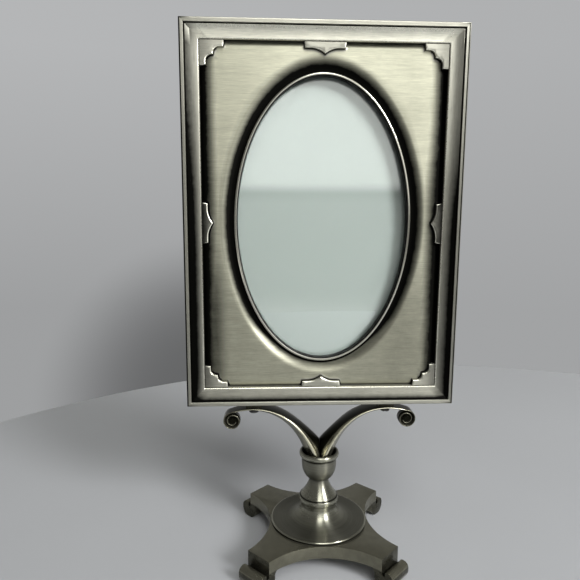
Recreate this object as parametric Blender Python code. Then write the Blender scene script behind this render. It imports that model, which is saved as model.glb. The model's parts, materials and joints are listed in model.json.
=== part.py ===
"""Rectangular picture frame with an oval window, carried by two arms on a turned stem.

The stem's axis is the Z axis, the table is at Z = 0 and the frame faces -Y. Lengths
are in metres. The frame stands on the arms, the arms on the stem, the stem on the base.
"""
import math

import bmesh
import bpy
from mathutils import Matrix, Vector

MM = 0.001

# Gap left between two pieces that touch
SEAT_GAP = 0.3 * MM

# Shortest lengths kept when two bodies are combined, and the angle that makes an edge sharp
WELD_LENGTH = 0.005 * MM
SLIVER_LENGTH = 0.002 * MM
SHARP_ANGLE = math.radians(35)

# Sides of the round pieces
DISH_SEGMENTS = 48
STEM_SEGMENTS = 36
HUB_SEGMENTS = 32
WASHER_SEGMENTS = 24
ROD_SEGMENTS = 20
SCREW_SEGMENTS = 16
BUTTON_SCREW_SEGMENTS = 12

# Border of the frame; depths are measured back from the front of the lip
FRAME_WIDTH = 150.0 * MM
FRAME_HEIGHT = 205.0 * MM
FRAME_DEPTH = 16.0 * MM
FRAME_WALL = 5.0 * MM
BORDER_WIDTH = 9.7 * MM
LIP_WIDTH = 2.4 * MM
LIP_BEVEL = 0.5 * MM
GROOVE_WIDTH = 0.55 * MM
GROOVE_DEPTH = 1.5 * MM
BAND_OUTER_DEPTH = 0.9 * MM
BAND_HOLLOW = 0.5 * MM
BAND_EDGE_DEPTH = 3.0 * MM
BAND_EDGE_RADIUS = 0.5 * MM
FLANGE_DEPTH = 7.1 * MM

# Panel behind the border
PANEL_THICKNESS = 2.5 * MM
PANEL_CROWN = 1.2 * MM
MOAT_DEPTH = 2.1 * MM
PANEL_QUADRANT_STEPS = 18

# Shares of the room between the hole in the panel and the border, where that is narrowest
MOAT_FLOOR_SHARE = 0.104
MOAT_SLOPE_SHARE = 0.455
PANEL_ROLL_SHARE = 0.325

# Oval window and the bead that lines it
OVAL_WIDTH = 92.8 * MM
OVAL_HEIGHT = 152.4 * MM
BEAD_WIDTH = 1.85 * MM
BEAD_PROUD = 1.5 * MM
SLEEVE_WALL = 0.9 * MM

# Ornaments on the panel
ORNAMENT_DROP = 0.6 * MM
CORNER_LEG = 12.5 * MM
CORNER_END = 2.9 * MM
CORNER_FLAT = 1.8 * MM
SCALLOP_RADIUS = 3.4 * MM
EDGE_ORNAMENT_LENGTH = 21.8 * MM
EDGE_ORNAMENT_END = 2.75 * MM
EDGE_ORNAMENT_FLAT = 2.6 * MM
EDGE_ORNAMENT_TIP = 5.5 * MM
SIDE_ORNAMENT_DROP = 0.8 * MM
ORNAMENT_SLANT = 0.5 * MM
POCKET_CLEARANCE = 0.45 * MM
POCKET_SINK = 0.1 * MM

# Stack behind the panel
GLASS_THICKNESS = 2.0 * MM
INSERT_THICKNESS = 0.4 * MM
STACK_SIDE_GAP = 0.3 * MM

# Turn buttons on the back
BUTTON_LENGTH = 14.0 * MM
BUTTON_WIDTH = 4.4 * MM
BUTTON_TIP_WIDTH = 3.0 * MM
BUTTON_THICKNESS = 1.0 * MM
BUTTON_SCREW_RADIUS = 0.8 * MM
BUTTON_SCREW_DEPTH = 5.0 * MM
BUTTON_HEAD_RADIUS = 1.9 * MM
BUTTON_HEAD_HEIGHT = 1.0 * MM

# Base plate; its four arms lie on the diagonals
PLATE_THICKNESS = 6.9 * MM
PLATE_BEVEL = 0.4 * MM
STAR_REACH = 50.1 * MM
STAR_ARM_WIDTH = 16.0 * MM
STAR_WAIST = 28.7 * MM
STAR_SIDE_STEPS = 12

# Scroll feet
FOOT_HEIGHT = 9.5 * MM
LEG_THICKNESS = 4.5 * MM
LEG_FILLET = 3.0 * MM
HOOK_FLAT = 0.3 * MM
ROLL_RADIUS = 3.3 * MM
ROLL_REACH = 3.6 * MM
ROLL_LEVEL = 6.6 * MM
SLOT_WIDTH = 2.0 * MM
SLOT_FLOOR = 7.2 * MM

# Turned stem
DISH_RADIUS = 28.0 * MM
DISH_RIM = 1.4 * MM
TRUMPET_RADIUS = 10.0 * MM
TRUMPET_HEIGHT = 11.5 * MM
TRUMPET_SPREAD_POWER = 0.8
TRUMPET_RISE_POWER = 1.25
RING_RADIUS = 11.6 * MM
RING_HEIGHT = 3.5 * MM
RING_EDGE = 0.9 * MM
CONE_HEIGHT = 10.5 * MM
CONE_FLARE_POWER = 1.7
NECK_RADIUS = 5.5 * MM

# Cup at the top of the stem
CUP_HEIGHT = 16.4 * MM
CUP_RIM_RADIUS = 11.6 * MM
CUP_RIM_WIDTH = 1.0 * MM
CUP_RIM_HEIGHT = 3.2 * MM
CUP_GROOVE_RADIUS = 9.8 * MM
CUP_GROOVE_HEIGHT = 0.8 * MM
CUP_BODY_RADIUS = 10.15 * MM
CUP_BODY_FOOT = 6.45 * MM
CUP_BODY_POWER = 3.6
CUP_MOUTH_RADIUS = 10.3 * MM
CUP_WALL = 1.2 * MM
CUP_FLOOR = 4.5 * MM

# Rod through the stem
ROD_RADIUS = 2.0 * MM
ROD_HOLE_RADIUS = 2.3 * MM
ROD_TAIL = 0.9 * MM
WASHER_RADIUS = 5.0 * MM
WASHER_THICKNESS = 0.8 * MM
NUT_ACROSS_FLATS = 7.0 * MM
NUT_HEIGHT = 3.2 * MM

# Arms; reach is measured out from the stem's axis
ARM_RISE = 29.9 * MM
ARM_TOE_DEPTH = 3.8 * MM
ARM_TOE_REACH = 0.15 * MM
ARM_TOE_HANDLE = Vector((5.3, 14.9)) * MM
ARM_CREST_REACH = 38.0 * MM
ARM_CREST_DROP = 3.0 * MM
ARM_CREST_HANDLE = 21.4 * MM
ARM_RISE_STEPS = 18
ARM_RUN_STEPS = 6
ARM_ROOT_STEPS = 5
ARM_LAND = 0.7 * MM
ARM_ROOT_KEEL = 7.0 * MM
ARM_ROOT_CROWN = 8.5 * MM
ARM_CROWN = 0.6 * MM
ARM_TAPER_POWER = 1.3
ARM_KEEL_POWER = 1.3
ARM_CROWN_POWER = 4.5
ARM_RIM_CLEARANCE = 1.4 * MM
PAD_LENGTH = 9.0 * MM
PAD_WIDTH = 6.5 * MM
TANG_REACH = 4.45 * MM
TANG_THICKNESS = 2.3 * MM
TANG_WIDTH = 5.0 * MM
TANG_LENGTH = 4.0 * MM

# Scroll at the end of each arm
SCROLL_REACH = 50.3 * MM
SCROLL_DROP = 10.7 * MM
SCROLL_RADIUS = 5.5 * MM
SCROLL_PITCH = 1.9 * MM
SCROLL_START = math.radians(75.0)
SCROLL_TURNS = 1.65
SCROLL_STEPS = 24
SCROLL_STRAP = 1.4 * MM
SCROLL_EYE_RADIUS = 1.7 * MM
SCROLL_DEPTH = 7.8 * MM
SCROLL_EYE_DEPTH = 5.6 * MM
SCROLL_WEB_DEPTH = 3.6 * MM

# Screws that hold the frame to the arms
ARM_SCREW_RADIUS = 1.5 * MM
ARM_SCREW_BITE = 3.9 * MM
ARM_SCREW_HEAD_RADIUS = 2.75 * MM
ARM_SCREW_HEAD_HEIGHT = 1.5 * MM
SPOTFACE_DEPTH = 0.8 * MM

# Dome of every screw head, as shares of its radius and its height
HEAD_RIM_SHARE = 0.5
HEAD_CROWN_RADIUS_SHARE = 0.75
HEAD_CROWN_HEIGHT_SHARE = 0.88

# Heights, from the table up
PLATE_TOP = FOOT_HEIGHT + PLATE_THICKNESS
TRUMPET_BASE = PLATE_TOP + SEAT_GAP
RING_BASE = TRUMPET_BASE + TRUMPET_HEIGHT + SEAT_GAP
CONE_BASE = RING_BASE + RING_HEIGHT + SEAT_GAP
CUP_BASE = CONE_BASE + CONE_HEIGHT + SEAT_GAP
CUP_TOP = CUP_BASE + CUP_HEIGHT
PAD_TOP = CUP_TOP + ARM_RISE
FRAME_BASE = PAD_TOP + SEAT_GAP
FRAME_CENTRE = FRAME_BASE + FRAME_HEIGHT / 2
ARM_TOE = CUP_TOP - ARM_TOE_DEPTH
HUB_BASE = CUP_BASE + CUP_FLOOR + SEAT_GAP
HUB_TOP = ARM_TOE - SEAT_GAP

# Depths, from the front of the frame back
FRAME_FRONT = -FRAME_DEPTH / 2
FRAME_BACK = FRAME_DEPTH / 2
BAND_EDGE = FRAME_FRONT + BAND_EDGE_DEPTH
FLANGE_BACK = FRAME_FRONT + FLANGE_DEPTH
PANEL_MARGIN = FLANGE_BACK + SEAT_GAP
PANEL_FIELD = PANEL_MARGIN - PANEL_CROWN
MOAT_FLOOR = PANEL_FIELD + MOAT_DEPTH
PANEL_BACK = PANEL_MARGIN + PANEL_THICKNESS
GLASS_FRONT = PANEL_BACK + SEAT_GAP
INSERT_FRONT = GLASS_FRONT + GLASS_THICKNESS + SEAT_GAP
BOARD_FRONT = INSERT_FRONT + INSERT_THICKNESS + SEAT_GAP
ORNAMENT_FRONT = BAND_EDGE + ORNAMENT_DROP
ORNAMENT_BACK = PANEL_MARGIN - SEAT_GAP
BUTTON_FRONT = FRAME_BACK + SEAT_GAP

# Widths that several pieces share
STACK_WIDTH = FRAME_WIDTH - 2 * (FRAME_WALL + STACK_SIDE_GAP)
STACK_HEIGHT = FRAME_HEIGHT - 2 * (FRAME_WALL + STACK_SIDE_GAP)
HOLE_HALF_WIDTH = OVAL_WIDTH / 2 + SLEEVE_WALL + SEAT_GAP
HOLE_HALF_HEIGHT = OVAL_HEIGHT / 2 + SLEEVE_WALL + SEAT_GAP
PANEL_ROOM_ACROSS = FRAME_WIDTH / 2 - BORDER_WIDTH - HOLE_HALF_WIDTH
PANEL_ROOM_UP = FRAME_HEIGHT / 2 - BORDER_WIDTH - HOLE_HALF_HEIGHT
PANEL_ROOM = min(PANEL_ROOM_ACROSS, PANEL_ROOM_UP)
MOAT_FLOOR_WIDTH = PANEL_ROOM * MOAT_FLOOR_SHARE
MOAT_SLOPE_WIDTH = PANEL_ROOM * MOAT_SLOPE_SHARE
PANEL_ROLL_WIDTH = PANEL_ROOM * PANEL_ROLL_SHARE
SCREW_INSET = FRAME_WALL / 2


def clear_scene():
    for item in list(bpy.data.objects):
        bpy.data.objects.remove(item, do_unlink=True)


def make_material(name, colour, roughness, metallic):
    material = bpy.data.materials.new(name)
    material.use_nodes = True
    shader = material.node_tree.nodes["Principled BSDF"]
    shader.inputs["Base Color"].default_value = (*colour, 1.0)
    shader.inputs["Roughness"].default_value = roughness
    shader.inputs["Metallic"].default_value = metallic
    return material


def make_object(name, bm, material, location=(0, 0, 0), turn_y=0.0, turn_z=0.0):
    """Put a finished bmesh in the scene as one closed body with its faces pointing out."""
    bmesh.ops.recalc_face_normals(bm, faces=bm.faces)
    mesh = bpy.data.meshes.new(name)
    bm.to_mesh(mesh)
    bm.free()
    mesh.shade_smooth()
    mesh.set_sharp_from_angle(angle=SHARP_ANGLE)
    item = bpy.data.objects.new(name, mesh)
    bpy.context.scene.collection.objects.link(item)
    item.data.materials.append(material)
    item.location = location
    item.rotation_euler = (0, turn_y, turn_z)
    return item


def combine(item, tool, operation):
    """Cut tool out of item, or join it on, and remove the tool."""
    modifier = item.modifiers.new("combine", "BOOLEAN")
    modifier.operation = operation
    modifier.solver = "EXACT"
    modifier.object = tool
    bpy.context.view_layer.update()
    graph = bpy.context.evaluated_depsgraph_get()
    result = bpy.data.meshes.new_from_object(item.evaluated_get(graph))
    item.modifiers.clear()
    old = item.data
    item.data = result
    bpy.data.meshes.remove(old)
    bpy.data.objects.remove(tool, do_unlink=True)
    bm = bmesh.new()
    bm.from_mesh(result)
    bmesh.ops.remove_doubles(bm, verts=bm.verts, dist=WELD_LENGTH)
    bmesh.ops.dissolve_degenerate(bm, edges=bm.edges, dist=SLIVER_LENGTH)
    bm.to_mesh(result)
    bm.free()


def arc(centre, radius, start, end, steps):
    """Points on an arc in a plane, from one angle in degrees to another, ends included."""
    points = []
    for index in range(steps + 1):
        angle = math.radians(start + (end - start) * index / steps)
        points.append((centre[0] + radius * math.cos(angle), centre[1] + radius * math.sin(angle)))
    return points


def bezier(p0, p1, p2, p3, steps):
    points = []
    for index in range(steps + 1):
        t = index / steps
        s = 1 - t
        points.append(p0 * s ** 3 + p1 * (3 * s * s * t) + p2 * (3 * s * t * t) + p3 * t ** 3)
    return points


def ease(share):
    """Half a cosine wave from 0 to 1."""
    return (1 - math.cos(math.pi * share)) / 2


def offset_outline(outline, distance):
    """Move every side of an anticlockwise outline out by a distance."""
    moved = []
    count = len(outline)
    for index in range(count):
        before = Vector(outline[index - 1])
        here = Vector(outline[index])
        after = Vector(outline[(index + 1) % count])
        side_in = (here - before).normalized()
        side_out = (after - here).normalized()
        normal_in = Vector((side_in.y, -side_in.x))
        normal_out = Vector((side_out.y, -side_out.x))
        bisector = (normal_in + normal_out).normalized()
        moved.append(tuple(here + bisector * (distance / max(0.5, bisector.dot(normal_in)))))
    return moved


def prism(outline, low, high, axis="Y"):
    """Extrude a flat outline: (x, z) points along Y, or (x, y) points along Z."""
    bm = bmesh.new()
    if axis == "Y":
        verts = [bm.verts.new((a, low, b)) for a, b in outline]
        travel = Vector((0, high - low, 0))
    else:
        verts = [bm.verts.new((a, b, low)) for a, b in outline]
        travel = Vector((0, 0, high - low))
    face = bm.faces.new(verts)
    result = bmesh.ops.extrude_face_region(bm, geom=[face], use_keep_orig=True)
    top = [part for part in result["geom"] if isinstance(part, bmesh.types.BMVert)]
    bmesh.ops.translate(bm, verts=top, vec=travel)
    return bm


def box(size, centre):
    bm = bmesh.new()
    bmesh.ops.create_cube(bm, size=1.0)
    bmesh.ops.scale(bm, verts=bm.verts, vec=size)
    bmesh.ops.translate(bm, verts=bm.verts, vec=centre)
    return bm


def rod(radius, low, high, segments, centre=(0, 0), axis="Z"):
    """A plain cylinder from low to high along Z or Y; centre gives the other two coordinates."""
    bm = bmesh.new()
    bmesh.ops.create_cone(
        bm, cap_ends=True, segments=segments, radius1=radius, radius2=radius, depth=high - low
    )
    middle = (low + high) / 2
    if axis == "Y":
        bmesh.ops.rotate(bm, verts=bm.verts, matrix=Matrix.Rotation(math.pi / 2, 3, "X"))
        bmesh.ops.translate(bm, verts=bm.verts, vec=(centre[0], middle, centre[1]))
    else:
        bmesh.ops.translate(bm, verts=bm.verts, vec=(centre[0], centre[1], middle))
    return bm


def turned(profile, segments, closed=True):
    """Spin (radius, height) points round Z; an open profile starts and ends on the axis."""
    bm = bmesh.new()
    verts = [bm.verts.new((r, 0, z)) for r, z in profile]
    edges = [bm.edges.new(pair) for pair in zip(verts, verts[1:])]
    if closed:
        edges.append(bm.edges.new((verts[-1], verts[0])))
    bmesh.ops.spin(
        bm, geom=verts + edges, cent=(0, 0, 0), axis=(0, 0, 1), angle=math.tau,
        steps=segments, use_merge=True,
    )
    bmesh.ops.remove_doubles(bm, verts=bm.verts, dist=SLIVER_LENGTH)
    return bm


def screw(radius, length, head_radius, head_height, segments):
    """A screw along Z: the shank goes down from the seat of its low domed head."""
    profile = [
        (0, -length),
        (radius, -length),
        (radius, 0),
        (head_radius, 0),
        (head_radius, head_height * HEAD_RIM_SHARE),
        (head_radius * HEAD_CROWN_RADIUS_SHARE, head_height * HEAD_CROWN_HEIGHT_SHARE),
        (0, head_height),
    ]
    return turned(profile, segments, closed=False)


def loft(loops, closed_path=False, capped=False):
    """Join loops of points, one after the next, with quads."""
    bm = bmesh.new()
    rings = [[bm.verts.new(point) for point in loop] for loop in loops]
    pairs = list(zip(rings, rings[1:]))
    if closed_path:
        pairs.append((rings[-1], rings[0]))
    for ring, following in pairs:
        for index in range(len(ring)):
            step = (index + 1) % len(ring)
            bm.faces.new((ring[index], ring[step], following[step], following[index]))
    if capped:
        bm.faces.new(rings[0])
        bm.faces.new(rings[-1])
    return bm


def border_profile():
    """Section of the border: (distance in from the outer edge, depth) points."""
    band_start = LIP_WIDTH + GROOVE_WIDTH
    band_end = BORDER_WIDTH - BAND_EDGE_RADIUS
    points = [
        (0, FRAME_BACK),
        (0, FRAME_FRONT + LIP_BEVEL),
        (LIP_BEVEL, FRAME_FRONT),
        (LIP_WIDTH, FRAME_FRONT),
        (LIP_WIDTH, FRAME_FRONT + GROOVE_DEPTH),
        (band_start, FRAME_FRONT + GROOVE_DEPTH),
    ]
    band_steps = 6
    for index in range(band_steps + 1):
        share = index / band_steps
        slope = BAND_OUTER_DEPTH + (BAND_EDGE_DEPTH - BAND_OUTER_DEPTH) * share
        hollow = BAND_HOLLOW * math.sin(math.pi * share)
        points.append((band_start + (band_end - band_start) * share, FRAME_FRONT + slope + hollow))
    rounding = arc((band_end, BAND_EDGE + BAND_EDGE_RADIUS), BAND_EDGE_RADIUS, -90, 0, 3)
    points.extend(rounding[1:])
    points.extend([
        (BORDER_WIDTH, FLANGE_BACK),
        (FRAME_WALL, FLANGE_BACK),
        (FRAME_WALL, FRAME_BACK),
    ])
    return points


def build_frame_moulding(material):
    profile = border_profile()
    loops = []
    for side_x, side_z in ((-1, -1), (1, -1), (1, 1), (-1, 1)):
        loop = []
        for inset, depth in profile:
            x = side_x * (FRAME_WIDTH / 2 - inset)
            z = side_z * (FRAME_HEIGHT / 2 - inset)
            loop.append((x, depth, z))
        loops.append(loop)
    centre = (0, 0, FRAME_CENTRE)
    frame = make_object("frame_moulding", loft(loops, closed_path=True), material, centre)
    for side in (-1, 1):
        hole = rod(ARM_SCREW_RADIUS + SEAT_GAP, FRAME_BASE - SEAT_GAP,
                   FRAME_BASE + ARM_SCREW_BITE + SEAT_GAP, SCREW_SEGMENTS, (side * ARM_CREST_REACH, 0))
        combine(frame, make_object("arm_screw_hole", hole, material), "DIFFERENCE")
    for x, z, _ in button_places().values():
        hole = rod(BUTTON_SCREW_RADIUS + SEAT_GAP, FRAME_BACK - BUTTON_SCREW_DEPTH - SEAT_GAP,
                   FRAME_BACK + SEAT_GAP, BUTTON_SCREW_SEGMENTS, (x, z), "Y")
        combine(frame, make_object("button_screw_hole", hole, material), "DIFFERENCE")


def oval_loop(half_width, half_height, depth):
    """Points round an oval, four times PANEL_QUADRANT_STEPS of them, from +X round to +Z."""
    count = 4 * PANEL_QUADRANT_STEPS
    loop = []
    for index in range(count):
        angle = math.tau * index / count
        loop.append((half_width * math.cos(angle), depth, half_height * math.sin(angle)))
    return loop


def rectangle_loop(half_width, half_height, depth):
    """As many points as oval_loop, along a rectangle, with one on each corner."""
    steps = PANEL_QUADRANT_STEPS
    half = steps // 2
    quadrant = [(1.0, index / half) for index in range(half)]
    quadrant += [(1.0 - index / half, 1.0) for index in range(half)]
    loop = []
    for turn in range(4):
        for across, up in quadrant:
            for _ in range(turn):
                across, up = -up, across
            loop.append((half_width * across, depth, half_height * up))
    return loop


def build_oval_panel(material, corner_outline, edge_outline):
    loops = [oval_loop(HOLE_HALF_WIDTH, HOLE_HALF_HEIGHT, MOAT_FLOOR)]
    moat_steps = 6
    for index in range(moat_steps + 1):
        share = index / moat_steps
        grow = MOAT_FLOOR_WIDTH + MOAT_SLOPE_WIDTH * share
        depth = MOAT_FLOOR - MOAT_DEPTH * ease(share)
        loops.append(oval_loop(HOLE_HALF_WIDTH + grow, HOLE_HALF_HEIGHT + grow, depth))
    roll_steps = 4
    for index in range(roll_steps, -1, -1):
        share = index / roll_steps
        inset = BORDER_WIDTH + PANEL_ROLL_WIDTH * share
        depth = PANEL_MARGIN - PANEL_CROWN * math.sin(share * math.pi / 2)
        loops.append(rectangle_loop(FRAME_WIDTH / 2 - inset, FRAME_HEIGHT / 2 - inset, depth))
    loops.append(rectangle_loop(STACK_WIDTH / 2, STACK_HEIGHT / 2, PANEL_MARGIN))
    loops.append(rectangle_loop(STACK_WIDTH / 2, STACK_HEIGHT / 2, PANEL_BACK))
    loops.append(oval_loop(HOLE_HALF_WIDTH, HOLE_HALF_HEIGHT, PANEL_BACK))
    panel_mesh = loft(loops, closed_path=True)
    panel = make_object("oval_panel", panel_mesh, material, (0, 0, FRAME_CENTRE))
    for outline, places in ((corner_outline, corner_places()), (edge_outline, edge_places())):
        pocket_outline = offset_outline(outline, POCKET_CLEARANCE)
        for location, turn in places.values():
            pocket = prism(pocket_outline, FRAME_FRONT, PANEL_MARGIN + POCKET_SINK)
            tool = make_object("ornament_pocket", pocket, material, location, turn)
            combine(panel, tool, "DIFFERENCE")


def build_oval_bead(material):
    """The bead is a half-round rim on a thin sleeve that lines the hole."""
    rim_back = MOAT_FLOOR - SEAT_GAP
    rim_front = PANEL_FIELD - BEAD_PROUD
    radius = BEAD_WIDTH / 2
    section = [(0, PANEL_BACK)]
    section += arc((radius, rim_front + radius), radius, 180, 360, 5)
    section += [(BEAD_WIDTH, rim_back), (SLEEVE_WALL, rim_back), (SLEEVE_WALL, PANEL_BACK)]
    loops = [oval_loop(OVAL_WIDTH / 2 + grow, OVAL_HEIGHT / 2 + grow, depth)
             for grow, depth in section]
    make_object("oval_bead", loft(loops, closed_path=True), material, (0, 0, FRAME_CENTRE))


def corner_ornament_outline():
    """Anticlockwise outline, legs along +X and +Z, symmetric about the diagonal between them."""
    flat_start = CORNER_LEG - ORNAMENT_SLANT
    scallop_x = flat_start - CORNER_FLAT
    scallop_z = CORNER_END + SCALLOP_RADIUS
    lower = [(0, 0), (CORNER_LEG, 0), (flat_start, CORNER_END)]
    lower += arc((scallop_x, scallop_z), SCALLOP_RADIUS, 270, 180, 5)
    step = scallop_x - SCALLOP_RADIUS
    lower.append((step, step))
    upper = [(z, x) for x, z in reversed(lower[1:-1])]
    return lower + upper


def edge_ornament_outline():
    """Anticlockwise outline, its straight side along X and its point towards +Z."""
    end = EDGE_ORNAMENT_LENGTH / 2
    flat_start = end - ORNAMENT_SLANT
    curve_start = flat_start - EDGE_ORNAMENT_FLAT
    rise = EDGE_ORNAMENT_TIP - EDGE_ORNAMENT_END
    radius = (curve_start ** 2 + rise ** 2) / (2 * rise)
    sweep = math.degrees(math.asin(curve_start / radius))
    right = [(end, 0), (flat_start, EDGE_ORNAMENT_END)]
    right += arc((curve_start, EDGE_ORNAMENT_END + radius), radius, 270, 270 - sweep, 6)
    left = [(-x, z) for x, z in reversed(right[:-1])]
    return right + left


def corner_places():
    """Location and turn about Y of the ornament at each inner corner of the border."""
    x = FRAME_WIDTH / 2 - BORDER_WIDTH - SEAT_GAP
    z = FRAME_HEIGHT / 2 - BORDER_WIDTH - SEAT_GAP
    corners = (("bottom_left", -1, -1), ("top_left", -1, 1), ("top_right", 1, 1), ("bottom_right", 1, -1))
    return {
        name: ((side_x * x, 0, FRAME_CENTRE + side_z * z), index * math.pi / 2)
        for index, (name, side_x, side_z) in enumerate(corners)
    }


def edge_places():
    """Location and turn about Y of the ornament on each side; those at the left and right sit lower."""
    x = FRAME_WIDTH / 2 - BORDER_WIDTH - SEAT_GAP
    z = FRAME_HEIGHT / 2 - BORDER_WIDTH - SEAT_GAP
    sides = (
        ("bottom", 0, -z),
        ("left", -x, -SIDE_ORNAMENT_DROP),
        ("top", 0, z),
        ("right", x, -SIDE_ORNAMENT_DROP),
    )
    return {
        name: ((across, 0, FRAME_CENTRE + up), index * math.pi / 2)
        for index, (name, across, up) in enumerate(sides)
    }


def build_ornaments(material, corner_outline, edge_outline):
    kinds = (
        ("corner_ornament_", corner_outline, corner_places()),
        ("edge_ornament_", edge_outline, edge_places()),
    )
    for prefix, outline, places in kinds:
        for name, (location, turn) in places.items():
            body = prism(outline, ORNAMENT_FRONT, ORNAMENT_BACK)
            make_object(prefix + name, body, material, location, turn)


def build_stack(glass, card, velvet):
    """Glass, blank card and back board, one behind the other in the rebate."""
    layers = (
        ("glass_pane", GLASS_FRONT, GLASS_FRONT + GLASS_THICKNESS, glass),
        ("photo_insert", INSERT_FRONT, INSERT_FRONT + INSERT_THICKNESS, card),
        ("back_board", BOARD_FRONT, FRAME_BACK, velvet),
    )
    for name, front, back, material in layers:
        size = (STACK_WIDTH, back - front, STACK_HEIGHT)
        make_object(name, box(size, (0, (front + back) / 2, 0)), material, (0, 0, FRAME_CENTRE))


def button_places():
    """Screw position (x, z) and turn about Y of each turn button; a button points inwards."""
    x = FRAME_WIDTH / 2 - SCREW_INSET
    z = FRAME_HEIGHT / 2 - SCREW_INSET
    return {
        "bottom": (0, FRAME_CENTRE - z, 0.0),
        "left": (-x, FRAME_CENTRE, math.pi / 2),
        "top": (0, FRAME_CENTRE + z, math.pi),
        "right": (x, FRAME_CENTRE, -math.pi / 2),
    }


def build_turn_buttons(plate_material, screw_material):
    pivot_radius = BUTTON_WIDTH / 2
    tip_radius = BUTTON_TIP_WIDTH / 2
    outline = arc((0, 0), pivot_radius, 180, 360, 8)
    outline += arc((0, BUTTON_LENGTH - pivot_radius - tip_radius), tip_radius, 0, 180, 6)
    head_seat = BUTTON_FRONT + BUTTON_THICKNESS + SEAT_GAP
    shank = head_seat - FRAME_BACK + BUTTON_SCREW_DEPTH
    for name, (x, z, turn) in button_places().items():
        location = (x, BUTTON_FRONT, z)
        plate = prism(outline, 0, BUTTON_THICKNESS)
        button = make_object("turn_button_" + name, plate, plate_material, location, turn)
        hole = rod(BUTTON_SCREW_RADIUS + SEAT_GAP, -SEAT_GAP, BUTTON_THICKNESS + SEAT_GAP,
                   BUTTON_SCREW_SEGMENTS, axis="Y")
        combine(button, make_object("button_hole", hole, plate_material, location, turn), "DIFFERENCE")
        body = screw(BUTTON_SCREW_RADIUS, shank, BUTTON_HEAD_RADIUS, BUTTON_HEAD_HEIGHT,
                     BUTTON_SCREW_SEGMENTS)
        bmesh.ops.rotate(body, verts=body.verts, matrix=Matrix.Rotation(-math.pi / 2, 3, "X"))
        make_object("turn_button_screw_" + name, body, screw_material, (x, head_seat, z))


def star_outline():
    """Plate outline with arms along +X, +Y, -X and -Y, joined by hollow arcs."""
    half = STAR_ARM_WIDTH / 2
    corner_out = (STAR_REACH + half) / math.sqrt(2)
    corner_side = (STAR_REACH - half) / math.sqrt(2)
    rise = corner_out - STAR_WAIST
    radius = (corner_side ** 2 + rise ** 2) / (2 * rise)
    sweep = math.degrees(math.asin(corner_side / radius))
    outline = []
    for turn in range(4):
        middle = 45 + 90 * turn
        angle = math.radians(middle)
        reach = STAR_WAIST + radius
        centre = (reach * math.cos(angle), reach * math.sin(angle))
        outline += arc(centre, radius, middle + 180 + sweep, middle + 180 - sweep, STAR_SIDE_STEPS)
    return outline


def foot_outline():
    """Side view of one foot: (distance from the axis, height) points, anticlockwise."""
    leg_inner = STAR_REACH - LEG_THICKNESS
    roll = (STAR_REACH + ROLL_REACH, ROLL_LEVEL)
    roll_end = 180 - math.degrees(math.acos((ROLL_REACH - SLOT_WIDTH) / ROLL_RADIUS))
    hook_radius = (roll[0] + ROLL_RADIUS - leg_inner) / 2
    hook = (leg_inner + hook_radius, hook_radius - HOOK_FLAT)
    flat_half = math.degrees(math.acos(1 - HOOK_FLAT / hook_radius))
    inside_plate = FOOT_HEIGHT + PLATE_THICKNESS / 2
    outline = [(leg_inner - LEG_FILLET, inside_plate)]
    outline += arc((leg_inner - LEG_FILLET, FOOT_HEIGHT - LEG_FILLET), LEG_FILLET, 90, 0, 4)
    outline += arc(hook, hook_radius, 180, 270 - flat_half, 7)
    outline += arc(hook, hook_radius, 270 + flat_half, 360, 7)
    outline += arc(roll, ROLL_RADIUS, 0, roll_end, 8)
    outline += [
        (STAR_REACH + SLOT_WIDTH, SLOT_FLOOR),
        (STAR_REACH, SLOT_FLOOR),
        (STAR_REACH, inside_plate),
    ]
    return outline


def build_base(material):
    plate = prism(star_outline(), FOOT_HEIGHT, PLATE_TOP, "Z")
    top_edges = [e for e in plate.edges if all(v.co.z > PLATE_TOP - SEAT_GAP for v in e.verts)]
    bmesh.ops.bevel(
        plate, geom=top_edges, offset=PLATE_BEVEL, segments=1, profile=0.5, affect="EDGES", material=-1
    )
    base = make_object("base", plate, material, turn_z=math.pi / 4)
    for turn in range(4):
        foot = prism(foot_outline(), -STAR_ARM_WIDTH / 2, STAR_ARM_WIDTH / 2)
        angle = math.pi / 4 + turn * math.pi / 2
        combine(base, make_object("foot_tool", foot, material, turn_z=angle), "UNION")
    hole = rod(ROD_HOLE_RADIUS, FOOT_HEIGHT - SEAT_GAP, PLATE_TOP + SEAT_GAP, ROD_SEGMENTS)
    combine(base, make_object("rod_hole", hole, material), "DIFFERENCE")


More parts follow.
